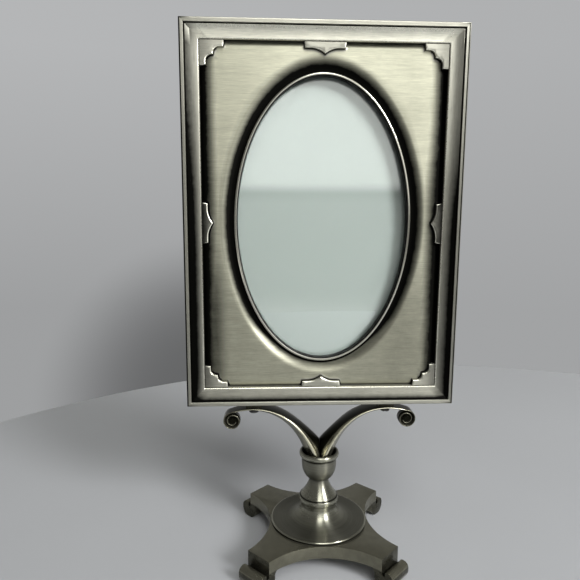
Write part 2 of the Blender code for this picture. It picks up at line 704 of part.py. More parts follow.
def build_stem(material):
    """Four turned pieces threaded on the rod, each resting on the one below."""
    flare_drop = TRUMPET_HEIGHT - DISH_RIM
    flare_width = DISH_RADIUS - TRUMPET_RADIUS
    trumpet = [(ROD_HOLE_RADIUS, 0), (DISH_RADIUS - PLATE_BEVEL, 0), (DISH_RADIUS, PLATE_BEVEL),
               (DISH_RADIUS, DISH_RIM - PLATE_BEVEL)]
    flare_steps = 8
    for index in range(flare_steps + 1):
        angle = math.pi / 2 * index / flare_steps
        spread = math.sin(angle) ** TRUMPET_SPREAD_POWER
        rise = (1 - math.cos(angle)) ** TRUMPET_RISE_POWER
        radius = DISH_RADIUS - PLATE_BEVEL - (flare_width - PLATE_BEVEL) * spread
        trumpet.append((radius, DISH_RIM + flare_drop * rise))
    trumpet.append((ROD_HOLE_RADIUS, TRUMPET_HEIGHT))
    make_object("stem_foot", turned(trumpet, DISH_SEGMENTS), material, (0, 0, TRUMPET_BASE))

    ring = [
        (ROD_HOLE_RADIUS, 0),
        (RING_RADIUS - RING_EDGE, 0),
        (RING_RADIUS, RING_EDGE),
        (RING_RADIUS, RING_HEIGHT - RING_EDGE),
        (RING_RADIUS - RING_EDGE, RING_HEIGHT),
        (ROD_HOLE_RADIUS, RING_HEIGHT),
    ]
    make_object("stem_ring", turned(ring, STEM_SEGMENTS), material, (0, 0, RING_BASE))

    cone_foot = RING_RADIUS - RING_EDGE
    cone = [(ROD_HOLE_RADIUS, 0), (cone_foot, 0)]
    cone_steps = 6
    for index in range(1, cone_steps + 1):
        share = index / cone_steps
        radius = NECK_RADIUS + (cone_foot - NECK_RADIUS) * (1 - share) ** CONE_FLARE_POWER
        cone.append((radius, CONE_HEIGHT * share))
    cone.append((ROD_HOLE_RADIUS, CONE_HEIGHT))
    make_object("stem_cone", turned(cone, STEM_SEGMENTS), material, (0, 0, CONE_BASE))

    make_object("stem_cup", turned(cup_profile(), STEM_SEGMENTS), material, (0, 0, CUP_BASE))


def cup_body_top():
    """Height above the cup's foot at which its body ends under the groove."""
    return CUP_HEIGHT - CUP_RIM_HEIGHT - CUP_GROOVE_HEIGHT


def cup_body_radius(level):
    """Outer radius of the cup's body at a height above its foot."""
    rest = max(0.0, 1 - level / cup_body_top())
    return CUP_BODY_RADIUS - (CUP_BODY_RADIUS - CUP_BODY_FOOT) * rest ** CUP_BODY_POWER


def cup_room(level):
    """Inner radius of the cup at a height above its foot."""
    top = cup_body_top()
    share = min(1.0, max(0.0, (level - top) / (CUP_HEIGHT - top)))
    wall_face = cup_body_radius(level) - CUP_WALL
    return wall_face + (CUP_MOUTH_RADIUS - wall_face) * share


def cup_profile():
    """Section of the cup: bulging rim, groove, body that rounds in to the neck, hollow inside."""
    rim_middle = CUP_HEIGHT - CUP_RIM_HEIGHT / 2
    outer = []
    for across, up in arc((0, 0), 1.0, 90, -90, 4):
        outer.append((CUP_RIM_RADIUS + CUP_RIM_WIDTH * (across - 1), rim_middle + CUP_RIM_HEIGHT / 2 * up))
    top = cup_body_top()
    outer.append((CUP_GROOVE_RADIUS, top + CUP_GROOVE_HEIGHT * 3 / 4))
    outer.append((CUP_GROOVE_RADIUS, top + CUP_GROOVE_HEIGHT / 4))
    body_steps = 8
    crowding = 1.5
    for index in range(body_steps, -1, -1):
        level = top * (index / body_steps) ** crowding
        outer.append((cup_body_radius(level), level))
    outer.append((NECK_RADIUS, 0))
    inner = [(ROD_HOLE_RADIUS, 0), (ROD_HOLE_RADIUS, CUP_FLOOR)]
    room_steps = 3
    for index in range(room_steps + 1):
        level = CUP_FLOOR + (top - CUP_FLOOR) * index / room_steps
        inner.append((cup_room(level), level))
    inner.append((CUP_MOUTH_RADIUS, CUP_HEIGHT))
    return outer + inner


def build_rod(material):
    """Rod from the nut under the plate up into the hub that the arms stand in."""
    washer_top = FOOT_HEIGHT - SEAT_GAP
    nut_top = washer_top - WASHER_THICKNESS - SEAT_GAP
    nut_bottom = nut_top - NUT_HEIGHT
    rod_body = rod(ROD_RADIUS, nut_bottom - ROD_TAIL, HUB_TOP - SEAT_GAP, ROD_SEGMENTS)
    make_object("tie_rod", rod_body, material)
    washer = [
        (ROD_HOLE_RADIUS, washer_top - WASHER_THICKNESS),
        (WASHER_RADIUS, washer_top - WASHER_THICKNESS),
        (WASHER_RADIUS, washer_top),
        (ROD_HOLE_RADIUS, washer_top),
    ]
    make_object("rod_washer", turned(washer, WASHER_SEGMENTS), material)
    corner_radius = NUT_ACROSS_FLATS / math.sqrt(3)
    nut = make_object("rod_nut", rod(corner_radius, nut_bottom, nut_top, 6), material)
    hole = rod(ROD_HOLE_RADIUS, nut_bottom - SEAT_GAP, nut_top + SEAT_GAP, ROD_SEGMENTS)
    combine(nut, make_object("nut_hole", hole, material), "DIFFERENCE")


def build_hub(material):
    radius = cup_room(CUP_FLOOR) - SEAT_GAP
    profile = [
        (ROD_HOLE_RADIUS, HUB_BASE),
        (radius, HUB_BASE),
        (radius, HUB_TOP),
        (ROD_HOLE_RADIUS, HUB_TOP),
    ]
    hub = make_object("arm_hub", turned(profile, HUB_SEGMENTS), material)
    for side in (-1, 1):
        size = (TANG_THICKNESS + 2 * SEAT_GAP, TANG_WIDTH + 2 * SEAT_GAP, TANG_LENGTH + SEAT_GAP)
        centre = (side * TANG_REACH, 0, HUB_TOP - size[2] / 2 + SEAT_GAP)
        combine(hub, make_object("tang_slot", box(size, centre), material), "DIFFERENCE")


def arm_path():
    """Edge line of an arm as (x, z) points from toe to scroll eye, with what each one carries.

    Returns (point, half depth, keel, crown) for each station. The keel is how far the
    underside hangs below the edge line, the crown how far the top swells above it.
    """
    toe = Vector((ARM_TOE_REACH, ARM_TOE))
    crest = Vector((ARM_CREST_REACH, FRAME_BASE - ARM_CREST_DROP))
    centre = Vector((SCROLL_REACH, FRAME_BASE - SCROLL_DROP))
    start = centre + SCROLL_RADIUS * Vector((math.cos(SCROLL_START), math.sin(SCROLL_START)))
    heading = Vector((math.sin(SCROLL_START), -math.cos(SCROLL_START)))
    handle = (start.x - crest.x) / 3
    before_crest = crest - Vector((ARM_CREST_HANDLE, 0))
    after_crest = crest + Vector((handle, 0))
    rise = bezier(toe, toe + ARM_TOE_HANDLE, before_crest, crest, ARM_RISE_STEPS)
    run = bezier(crest, after_crest, start - heading * handle, start, ARM_RUN_STEPS)
    spiral = []
    for index in range(1, SCROLL_STEPS + 1):
        turned_by = math.tau * SCROLL_TURNS * index / SCROLL_STEPS
        radius = SCROLL_RADIUS - SCROLL_PITCH * turned_by / math.tau
        angle = SCROLL_START - turned_by
        spiral.append(centre + radius * Vector((math.cos(angle), math.sin(angle))))
    arch = rise + run[1:]
    lengths = [0.0]
    for before, after in zip(arch, arch[1:]):
        lengths.append(lengths[-1] + (after - before).length)
    stations = []
    for point, length in zip(arch, lengths):
        share = length / lengths[-1]
        stations.append((point, *arm_section_sizes(point.y, share)))
    for index, point in enumerate(spiral):
        share = index / SCROLL_STEPS
        half_depth = (SCROLL_DEPTH + (SCROLL_EYE_DEPTH - SCROLL_DEPTH) * share) / 2
        stations.append((point, half_depth, SCROLL_STRAP, 0.0))
    return stations


def arm_section_sizes(height, share):
    """Half depth, keel and crown of the arm at a share of its arch."""
    rim_half = cup_room(min(height, CUP_TOP) - CUP_BASE) - ARM_RIM_CLEARANCE
    scroll_half = SCROLL_DEPTH / 2
    half_depth = scroll_half + (rim_half - scroll_half) * (1 - share ** ARM_TAPER_POWER)
    keel = ARM_ROOT_KEEL + (SCROLL_STRAP - ARM_ROOT_KEEL) * share
    crown = ARM_CROWN * (1 - share) + ARM_ROOT_CROWN * (1 - share) ** ARM_CROWN_POWER
    return half_depth, keel, crown


def arm_section(half_depth, keel, crown):
    """Closed section as (y, offset towards the keel) points: domed top, thin edges, V keel."""
    top = [(y * half_depth, -crown * (1 - y * y)) for y in (-1, -0.7, -0.35, 0, 0.35, 0.7, 1)]
    under = []
    for y in (1, 0.66, 0.33, 0, -0.33, -0.66, -1):
        depth = ARM_LAND + (keel - ARM_LAND) * (1 - abs(y) ** ARM_KEEL_POWER)
        under.append((y * half_depth, depth))
    return top + under


def build_arm(material):
    """Right arm, swept along its path, and its mirror image; at the root the two meet flat.

    The lowest sections swing from level, where the arm stands on the hub, to square with the path.
    """
    stations = arm_path()
    loops = []
    for index, (point, half_depth, keel, crown) in enumerate(stations):
        before = stations[max(index - 1, 0)][0]
        after = stations[min(index + 1, len(stations) - 1)][0]
        swing = min(1.0, index / ARM_ROOT_STEPS)
        tangent = Vector((0, 1)).lerp((after - before).normalized(), swing)
        normal = Vector((tangent.y, -tangent.x)).normalized()
        loop = []
        for y, offset in arm_section(half_depth, keel, crown):
            place = point + normal * offset
            loop.append((max(place.x, SEAT_GAP / 2), y, place.y))
        loops.append(loop)
    arm = make_object("arm_right", loft(loops, capped=True), material)

    centre = (SCROLL_REACH, FRAME_BASE - SCROLL_DROP)
    web_radius = SCROLL_RADIUS - SCROLL_PITCH / 2
    web = rod(web_radius, -SCROLL_WEB_DEPTH / 2, SCROLL_WEB_DEPTH / 2, ROD_SEGMENTS, centre, "Y")
    combine(arm, make_object("scroll_web", web, material), "UNION")
    eye = rod(SCROLL_EYE_RADIUS, -SCROLL_EYE_DEPTH / 2, SCROLL_EYE_DEPTH / 2, SCREW_SEGMENTS, centre, "Y")
    combine(arm, make_object("scroll_eye", eye, material), "UNION")

    pad_low = FRAME_BASE - ARM_CREST_DROP - ARM_LAND / 2
    pad_size = (PAD_LENGTH, PAD_WIDTH, PAD_TOP - pad_low)
    pad = box(pad_size, (ARM_CREST_REACH, 0, (PAD_TOP + pad_low) / 2))
    combine(arm, make_object("seat_pad", pad, material), "UNION")
    tang_size = (TANG_THICKNESS, TANG_WIDTH, TANG_LENGTH + ARM_LAND)
    tang_centre = (TANG_REACH, 0, ARM_TOE - TANG_LENGTH + SEAT_GAP + tang_size[2] / 2)
    combine(arm, make_object("tang", box(tang_size, tang_centre), material), "UNION")

    axis = (ARM_CREST_REACH, 0)
    below = FRAME_BASE - SCROLL_DROP
    hole = rod(ARM_SCREW_RADIUS + SEAT_GAP, below, FRAME_BASE, SCREW_SEGMENTS, axis)
    combine(arm, make_object("screw_hole", hole, material), "DIFFERENCE")
    spotface = rod(ARM_SCREW_HEAD_RADIUS + SEAT_GAP, below, spotface_level(), ROD_SEGMENTS, axis)
    combine(arm, make_object("spotface", spotface, material), "DIFFERENCE")

    mirrored = bmesh.new()
    mirrored.from_mesh(arm.data)
    bmesh.ops.scale(mirrored, verts=mirrored.verts, vec=(-1, 1, 1))
    bmesh.ops.reverse_faces(mirrored, faces=mirrored.faces)
    make_object("arm_left", mirrored, material)


def spotface_level():
    """Height of the seat sunk into the arm's underside for the screw's head."""
    crest, _, keel, _ = arm_path()[ARM_RISE_STEPS]
    return crest.y - keel + SPOTFACE_DEPTH


def build_arm_screws(material):
    head_top = spotface_level() - SEAT_GAP
    shank = FRAME_BASE + ARM_SCREW_BITE - head_top
    for name, side in (("arm_screw_left", -1), ("arm_screw_right", 1)):
        body = screw(ARM_SCREW_RADIUS, shank, ARM_SCREW_HEAD_RADIUS, ARM_SCREW_HEAD_HEIGHT, SCREW_SEGMENTS)
        bmesh.ops.rotate(body, verts=body.verts, matrix=Matrix.Rotation(math.pi, 3, "X"))
        make_object(name, body, material, (side * ARM_CREST_REACH, 0, head_top))


def build():
    clear_scene()
    bright = make_material("pewter_bright", (0.62, 0.60, 0.52), 0.32, 1.0)
    brushed = make_material("pewter_brushed", (0.58, 0.56, 0.48), 0.36, 1.0)
    dark = make_material("pewter_dark", (0.20, 0.20, 0.165), 0.38, 1.0)
    satin = make_material("pewter_satin", (0.30, 0.30, 0.25), 0.3, 1.0)
    steel = make_material("dark_steel", (0.05, 0.05, 0.05), 0.45, 1.0)
    plated = make_material("plated_steel", (0.55, 0.52, 0.42), 0.35, 1.0)
    glass = make_material("clear_glass", (0.85, 0.92, 0.92), 0.03, 0.0)
    card = make_material("white_card", (0.86, 0.90, 0.89), 0.8, 0.0)
    velvet = make_material("black_velvet", (0.012, 0.012, 0.014), 0.95, 0.0)

    corner_outline = corner_ornament_outline()
    edge_outline = edge_ornament_outline()
    build_frame_moulding(bright)
    build_oval_panel(brushed, corner_outline, edge_outline)
    build_oval_bead(bright)
    build_ornaments(bright, corner_outline, edge_outline)
    build_stack(glass, card, velvet)
    build_turn_buttons(plated, steel)
    build_arm(dark)
    build_arm_screws(steel)
    build_hub(dark)
    build_stem(satin)
    build_base(dark)
    build_rod(steel)


build()
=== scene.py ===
# %% [markdown]
# # Dressing a pewter picture frame
# A plain, measured model of a table-top picture frame is already packed: a rectangular
# border, a brushed panel with an oval window, two scroll arms, a turned stem and a star
# base on scroll feet. This lesson gives it finer shapes and the worn, darkened finish of
# antiqued pewter, with painted shade and painted highlights worked into that finish, then
# sets it on a pale table. Nothing here changes its size.

# %% Load the measured model
import json
from math import acos, asin, atan2, copysign, cos, degrees, dist, hypot, pi, radians, sin, sqrt, tau

import bmesh
import bpy
from mathutils import Matrix, Vector

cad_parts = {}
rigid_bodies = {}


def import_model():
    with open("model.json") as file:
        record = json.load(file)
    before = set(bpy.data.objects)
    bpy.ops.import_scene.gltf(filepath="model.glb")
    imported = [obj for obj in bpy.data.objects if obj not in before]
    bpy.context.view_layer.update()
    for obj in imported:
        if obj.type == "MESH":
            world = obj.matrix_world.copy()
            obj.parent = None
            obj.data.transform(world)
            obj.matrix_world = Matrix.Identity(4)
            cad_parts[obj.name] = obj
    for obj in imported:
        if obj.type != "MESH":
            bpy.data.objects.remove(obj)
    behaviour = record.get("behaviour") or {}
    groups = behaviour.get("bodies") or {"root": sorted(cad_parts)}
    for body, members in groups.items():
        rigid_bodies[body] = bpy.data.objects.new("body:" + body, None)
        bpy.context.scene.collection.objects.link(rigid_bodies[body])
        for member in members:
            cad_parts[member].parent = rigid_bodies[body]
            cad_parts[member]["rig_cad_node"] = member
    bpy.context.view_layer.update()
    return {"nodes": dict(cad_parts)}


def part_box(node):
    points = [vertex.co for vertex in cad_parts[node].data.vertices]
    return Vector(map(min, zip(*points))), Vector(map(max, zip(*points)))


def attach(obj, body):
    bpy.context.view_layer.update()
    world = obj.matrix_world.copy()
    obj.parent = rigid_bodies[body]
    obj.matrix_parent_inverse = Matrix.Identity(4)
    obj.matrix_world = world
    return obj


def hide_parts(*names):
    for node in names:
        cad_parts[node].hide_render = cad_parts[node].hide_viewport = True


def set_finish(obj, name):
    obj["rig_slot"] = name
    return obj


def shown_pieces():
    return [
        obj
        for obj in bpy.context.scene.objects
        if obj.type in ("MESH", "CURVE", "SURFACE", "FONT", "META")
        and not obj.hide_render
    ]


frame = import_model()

MM = 0.001
nodes = frame["nodes"]


def in_mm(box):
    """A box's corners in rounded millimetres, for printing."""
    return [[round(v / MM, 1) for v in corner] for corner in box]


# %% [markdown]
# ## Where things are
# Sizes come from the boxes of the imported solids, so a new piece sits where the solid it
# stands for sits. Only the small sizes that a box can't tell, such as a groove's width,
# are written here as numbers.

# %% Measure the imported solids
border_low, border_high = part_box("frame_moulding")
bead_low, bead_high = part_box("oval_bead")
panel_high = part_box("oval_panel")[1]
half_width = border_high.x
half_height = (border_high.z - border_low.z) / 2
centre_z = (border_high.z + border_low.z) / 2
front_y, back_y = border_low.y, border_high.y
border_width = 9.7 * MM
rebate_wall = 5.0 * MM
open_half_width = half_width - border_width
open_half_height = half_height - border_width
oval_half_width, oval_half_height = 46.4 * MM, 76.2 * MM
SEAT_GAP = 0.3 * MM
panel_margin_y = front_y + 7.4 * MM
margin_step, roll_height, moat_depth = 0.5 * MM, 0.7 * MM, 2.1 * MM
moat_floor_y = panel_margin_y - margin_step - roll_height + moat_depth
print("border, low and high corner:", in_mm((border_low, border_high)))

# %% [markdown]
# ## A mark for old patina and painted shade
# Antiquing leaves black in grooves and corners and is rubbed off whatever stands proud.
# Each new mesh carries one number for that patina and for painted light as well: 1 where
# the black stays or where shade is painted, 0 where the metal is rubbed bright, and less
# than 0 on edges, where the metal is painted paler than clean as a highlight, partly
# handling wear. The number also paints shade by side, darker on uprights and low parts
# and lighter on top. The material breaks the change up with noise, so it is never a clean
# line. A texture made from the view would slide; a number on the mesh can't.

# %% Finish a mesh as a piece of the object
def as_object(name, bm):
    """Put a bmesh into the scene as an object and free it."""
    mesh = bpy.data.meshes.new(name)
    bm.to_mesh(mesh)
    bm.free()
    made = bpy.data.objects.new(name, mesh)
    bpy.context.scene.collection.objects.link(made)
    return made


def finish_piece(name, bm, slot, *stands_for, body="body", sharp=32, bevel=0.0):
    """Turn a bmesh into an object, smooth it, soften its edges and hang it on its body."""
    bmesh.ops.remove_doubles(bm, verts=bm.verts, dist=0.001 * MM)
    bmesh.ops.recalc_face_normals(bm, faces=bm.faces)
    piece = as_object(name, bm)
    piece.data.shade_smooth()
    piece.data.set_sharp_from_angle(angle=radians(sharp))
    if bevel:
        soft_edges = piece.modifiers.new("soft_edges", "BEVEL")
        soft_edges.width = bevel
        soft_edges.segments = 3
        soft_edges.limit_method = "ANGLE"
        soft_edges.angle_limit = radians(50)
        soft_edges.harden_normals = True
    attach(piece, body)
    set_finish(piece, slot)
    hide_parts(*stands_for)
    print(name, len(piece.data.polygons), "faces")
    return piece


def new_bmesh():
    """An empty bmesh with the number that says how much patina and painted shade a vertex carries."""
    bm = bmesh.new()
    return bm, bm.verts.layers.float.new("patina")


# %% [markdown]
# ## Loops that face the viewer
# The border, the panel and the bead are closed rings round the window. Each starts as one
# loop of edges, a rectangle or an oval, which is extruded, scaled and pushed back again
# and again, so the rectangles' corners come out as true mitres. Sweeping a section along
# a curve would also work, but a curve pinches or rounds its corners.

# %% Draw a ring from one loop
CORNER_SIGNS = ((1, 1), (-1, 1), (-1, -1), (1, -1))


def first_loop(bm, layer, shape, points, station):
    """The edges of one loop round the window's centre; shape is "oval" or "rectangle"."""
    half_across, half_up, depth, patina = station
    verts = bmesh.ops.create_circle(bm, cap_ends=False, segments=points, radius=1.0)["verts"]
    bmesh.ops.rotate(bm, verts=verts, matrix=Matrix.Rotation(pi / 4, 3, "Z"))
    for vert in verts:
        across, up = vert.co.x, vert.co.y
        if shape == "rectangle":
            turn = (atan2(up, across) / tau - 0.125) % 1 * 4
            side = int(turn + 0.001)
            start, end = (Vector(CORNER_SIGNS[(side + ahead) % 4]) for ahead in (0, 1))
            across, up = start.lerp(end, max(0.0, turn - side))
        vert.co = (half_across * across, depth, centre_z + half_up * up)
        vert[layer] = patina
    return list({edge for vert in verts for edge in vert.link_edges})


def pull(bm, edges):
    """Extrude edges; returns the new vertices and the edges between them."""
    grown = bmesh.ops.extrude_edge_only(bm, edges=edges)["geom"]
    verts = [part for part in grown if isinstance(part, bmesh.types.BMVert)]
    fresh = set(verts)
    return verts, [part for part in grown
                   if isinstance(part, bmesh.types.BMEdge) and fresh.issuperset(part.verts)]


def draw_ring(bm, layer, shape, points, stations):
    """Pull a loop through (half across, half up, depth, patina); returns its end edges."""
    first = edges = first_loop(bm, layer, shape, points, stations[0])
    for here, there in zip(stations, stations[1:]):
        verts, edges = pull(bm, edges)
        bmesh.ops.scale(bm, verts=verts, vec=(there[0] / here[0], 1, there[1] / here[1]),
                        space=Matrix.Translation((0, 0, -centre_z)))
        bmesh.ops.translate(bm, verts=verts, vec=(0, there[2] - here[2], 0))
        for vert in verts:
            vert[layer] = there[3]
    return first, edges


# %% Helpers for sections and for the grain
def held(value):
    """The value, held between 0 and 1."""
    return min(1.0, max(0.0, value))


def ease(value, low, high):
    """0 below low, 1 above high, and smooth between."""
    share = held((value - low) / (high - low))
    return share * share * (3 - 2 * share)


def shares(steps):
    """Even steps from 0 to 1, both included."""
    return [step / steps for step in range(steps + 1)]


def arc_points(centre, radius, start, end, steps):
    """Points on an arc between two angles in degrees, both ends included."""
    angles = [radians(start + (end - start) * share) for share in shares(steps)]
    return [(centre[0] + radius * cos(angle), centre[1] + radius * sin(angle)) for angle in angles]


def map_grain(bm, upright=lambda x, z: False):
    """UV map "grain": across the brushing, then along it; upright(x, z) says where it stands."""
    grain = bm.loops.layers.uv.new("grain")
    bm.normal_update()
    for face in bm.faces:
        middle = face.calc_center_median()
        steepness = [abs(part) for part in face.normal]
        faced = steepness.index(max(steepness))
        along = 2 if upright(middle.x, middle.z) else 0
        if along == faced:
            along = 1
        across = 3 - faced - along
        for corner in face.loops:
            corner[grain].uv = (corner.vert.co[across], corner.vert.co[along])


# %% [markdown]
# ## The border
# On the real frame this is one casting: a bright flat lip, a fine black groove, a hollow
# band and a rebate behind for the glass. Patina and painted shade run the band from near
# black at the groove to polished metal at its rounded inner edge; along the uprights it
# is painted nearly black, below paler, and on top brighter than clean metal. The section
# is written once, from the outer edge inwards, and each of its points becomes a rectangle.

# %% Section of the border
BORDER_POINTS = 96
BAND_STEPS = 14
round_edge = 0.6 * MM
band_start = 2.95 * MM
band_end = border_width - round_edge
edge_y = front_y + 3.0 * MM
rebate_y = front_y + 7.1 * MM
# Inset and depth in millimetres, and patina, across the lip and down into the groove.
LIP_AND_GROOVE = (
    (0.75, 0.0, 0.2), (0.95, 0.0, 0.2), (1.1, 0.0, 0.22), (1.7, 0.0, 0.2), (2.15, 0.0, 0.05),
    (2.4, 0.2, 0.35), (2.42, 1.5, 1.0), (2.93, 1.5, 1.0),
)


def border_section():
    """(inset, depth, patina) points of the border's section, from the back round to the back."""
    section = [(0.0, back_y - 0.4 * MM, 0.35), (0.0, front_y + 0.7 * MM, 0.3)]
    for inset, depth in arc_points((round_edge, front_y + round_edge), round_edge, 180, 270, 4):
        section.append((inset, depth, 0.2))
    for inset, depth, patina in LIP_AND_GROOVE:
        section.append((inset * MM, front_y + depth * MM, patina))
    for share in shares(BAND_STEPS):
        sunk = 0.9 + 2.1 * share + 0.5 * sin(pi * share)
        section.append((band_start + (band_end - band_start) * share, front_y + sunk * MM, 0.5))
    for inset, depth in arc_points((band_end, edge_y + round_edge), round_edge, -75, 0, 5):
        section.append((inset, depth, 0.0))
    return section + [
        (border_width, edge_y + 1.3 * MM, 0.75), (border_width, rebate_y, 1.0),
        (rebate_wall, rebate_y, 1.0), (rebate_wall, back_y, 0.8), (0.4 * MM, back_y, 0.4),
    ]


# %% Build the border
def on_a_side(x, z):
    """True on the border's upright members, false on the ones that lie across."""
    return abs(x) / half_width > abs(z - centre_z) / half_height


def border_patina_and_shade(section_patina, x, y, z):
    """Patina with painted shade and highlight: the band is painted nearly black along the uprights,
    paler below and brighter than clean metal on top.
    """
    from_side, from_end = half_width - abs(x), half_height - abs(z - centre_z)
    inset = min(from_side, from_end)
    upright = 1 - ease(from_side - from_end, -1 * MM, 2.5 * MM)
    on_left, on_top = x < 0, z > centre_z
    share = (inset - band_start) / (band_end - band_start)
    if y > edge_y + 0.7 * MM:
        return section_patina if upright > 0.5 or on_top else 0.5 * section_patina
    if -0.001 <= share <= 1.001:
        share = held(share)
        # Painted shade: the uprights are near black, lighter higher up and more so on the right; a
        # painted highlight on top, where the number falls below 0, and shade below.
        dark = 0.98 - (0.2 * share + 0.4 * share ** 4 if on_left else 0.42 * share)
        dark *= 1 - (0.15 if on_left else 0.42) * ease(z, centre_z - 10 * MM, centre_z + 80 * MM)
        crosswise_painted_light = -0.16 + 0.25 * (1 - share) ** 3 if on_top else 0.4 + 0.5 * (1 - share) ** 1.2
        return dark * upright + crosswise_painted_light * (1 - upright)
    if share < 0 and y < front_y + 0.7 * MM:
        # Painted shade on the lip: darker on the uprights than across, with a dark line near its outer
        # edge.
        lip_painted_shade = 0.1 if on_top else 0.24
        if on_left:
            side = 0.75 if inset < 0.8 * MM else 0.3
        else:
            side = 0.8 if 0.5 * MM < inset < 1.0 * MM else 0.35
        return section_patina + side * upright + lip_painted_shade * (1 - upright)
    return section_patina


bm, layer = new_bmesh()
stations = [(half_width - inset, half_height - inset, depth, patina)
            for inset, depth, patina in border_section()]
draw_ring(bm, layer, "rectangle", BORDER_POINTS, stations + stations[:1])
for vert in bm.verts:
    vert[layer] = border_patina_and_shade(vert[layer], *vert.co)
map_grain(bm, on_a_side)
finish_piece("border_casting", bm, "pewter_bright", "frame_moulding", bevel=0.25 * MM)

# %% [markdown]
# ## The panel
# The panel is a brushed sheet pressed to shape: it rolls down towards the border on all
# sides, and round the window it sinks in a smooth moat where the patina and the painted
# shade are thickest.
# Rectangles with many points run inwards from the border, ovals with as many points run
# out from the window, and one bridge joins the two kinds across the flat field.

# %% Form and patina of the panel
PANEL_POINTS = 192
MOAT_STEPS, ROLL_STEPS = 12, 10
hole_half_width = oval_half_width + 1.2 * MM
hole_half_height = oval_half_height + 1.2 * MM
panel_room = open_half_height - hole_half_height
roll_width = panel_room * 0.2
moat_floor_width = panel_room * 0.104
moat_slope_width = panel_room * 0.455


def from_border(x, z):
    """How far a point of the panel lies inside the border's sides and inside its ends."""
    return open_half_width - abs(x), open_half_height - abs(z - centre_z)


def roll_depth(share):
    """Depth of the rolled margin, share 0 at the border and 1 on the flat field."""
    return panel_margin_y - margin_step - roll_height * sin(share * pi / 2)


def panel_front(x, z):
    """Depth of the panel's front near the border, at a point of the world."""
    return roll_depth(held(min(from_border(x, z)) / roll_width))


def panel_patina_and_shade(x, z):
    """Patina and painted shade: black in the moat, painted widest above and beside it, along the
    border's foot and in margins at the sides, and painted darker towards the bottom and the right.
    """
    up = z - centre_z
    from_side, from_end = from_border(x, z)
    lower = 1 - ease(up, -0.1 * half_height, 0.5 * half_height)
    # Painted shade in the side margins, wider low down and on the right.
    side_width = (8.5 + (1.0 if x < 0 else 2.8) * (1 - ease(up, 0, 0.6 * half_height))) * MM
    side_patina_and_shade = 0.9 * (1 - held(from_side / side_width) ** 2.8)
    # Painted shade: darker towards the bottom and the right, and low down near the left side.
    painted_low_right_shade = 0.4 * ease(-up, -0.1 * half_height, 0.5 * half_height) + 0.14 * ease(x, 12 * MM, 45 * MM)
    if x < 0:
        painted_low_right_shade += 0.36 * (1 - ease(from_side, 6 * MM, 15 * MM)) * lower
    # Painted shadow with wash along the border's foot, thin on top and wider below.
    end_patina_and_shade = 1 - ease(from_end, -0.9 * MM, (0.4 if up > 0 else 3.5) * MM)
    reach = hypot(x / hole_half_width, up / hole_half_height)
    from_hole = hypot(x, up) * (1 - 1 / reach)
    lift = up / hole_half_height / reach
    # Painted shade in the moat, wider above and beside the window than below it.
    moat_width = (3.2 + 6.8 * ease(lift, -1.0, -0.55)) * MM
    moat_patina_and_shade = 1 - held((from_hole - 0.06 * moat_width) / moat_width) ** 2.2
    # Painted shade over the lower rim of the moat.
    crescent_painted_shade = 0.66 * (1 - ease(from_hole, 3.5 * MM, 11 * MM)) * ease(-lift, 0.15, 0.6)
    return max(side_patina_and_shade, end_patina_and_shade, moat_patina_and_shade, crescent_painted_shade, painted_low_right_shade)


# %% Build the panel
bm, layer = new_bmesh()
stations = [(hole_half_width, hole_half_height, depth, 1.0) for depth in (panel_high.y, moat_floor_y)]
for share in shares(MOAT_STEPS):
    grow = moat_floor_width + moat_slope_width * share
    depth = moat_floor_y - moat_depth * (1 - cos(pi * share)) / 2
    patina = max(0.0, 1.0 - 1.05 * share) ** 0.9
    stations.append((hole_half_width + grow, hole_half_height + grow, depth, patina))
oval_back, oval_front = draw_ring(bm, layer, "oval", PANEL_POINTS, stations)
stations = [(open_half_width - roll_width * share, open_half_height - roll_width * share,
             roll_depth(share), 1.0) for share in reversed(shares(ROLL_STEPS))]
tuck = 0.02 * MM
stations.append((open_half_width + tuck, open_half_height + tuck, panel_margin_y, 1.0))
for depth in (panel_margin_y, panel_high.y):
    stations.append((panel_high.x, half_height - rebate_wall - SEAT_GAP, depth, 1.0))
sheet_front, sheet_back = draw_ring(bm, layer, "rectangle", PANEL_POINTS, stations)
field = bmesh.ops.bridge_loops(bm, edges=oval_front + sheet_front)
bmesh.ops.subdivide_edges(bm, edges=field["edges"], cuts=7, use_grid_fill=True)
bmesh.ops.bridge_loops(bm, edges=oval_back + sheet_back)
for vert in bm.verts:
    if vert.co.y < moat_floor_y - 0.05 * MM:
        vert[layer] = panel_patina_and_shade(vert.co.x, vert.co.z)
map_grain(bm)
finish_piece("brushed_panel", bm, "pewter_brushed", "oval_panel", sharp=60)

# %% [markdown]
# ## The bead round the window
# A thin half-round moulding lines the oval. It is polished on its crown, and black lies
# on both sides of it, patina with painted shade, so its section's number goes from 1 to 0
# and back.

# %% Build the bead
BEAD_POINTS = 144
bead_width = bead_high.x - oval_half_width
bead_radius = bead_width / 2
bead_wall = 0.9 * MM
bead_foot = moat_floor_y - SEAT_GAP
section = [(0.0, panel_high.y, 1.0), (0.0, bead_low.y + 2.2 * MM, 0.95)]
for inset, depth in arc_points((bead_radius, bead_low.y + bead_radius), bead_radius, 180, 360, 12):
    from_crown = inset / bead_radius - 1
    # Painted shade on both sides of a narrow bright crown.
    patina = 0.9 * ease(-from_crown, 0.0, 0.7) + ease(from_crown, 0.6, 0.9)
    section.append((inset, depth, min(1.0, patina)))
section += [(bead_width, bead_foot, 1.0), (bead_wall, bead_foot, 1.0), (bead_wall, panel_high.y, 1.0)]
bm, layer = new_bmesh()
stations = [(oval_half_width + grow, oval_half_height + grow, depth, patina)
            for grow, depth, patina in section]
draw_ring(bm, layer, "oval", BEAD_POINTS, stations + stations[:1])
map_grain(bm)
bead = finish_piece("window_bead", bm, "pewter_bright", "oval_bead", sharp=50)

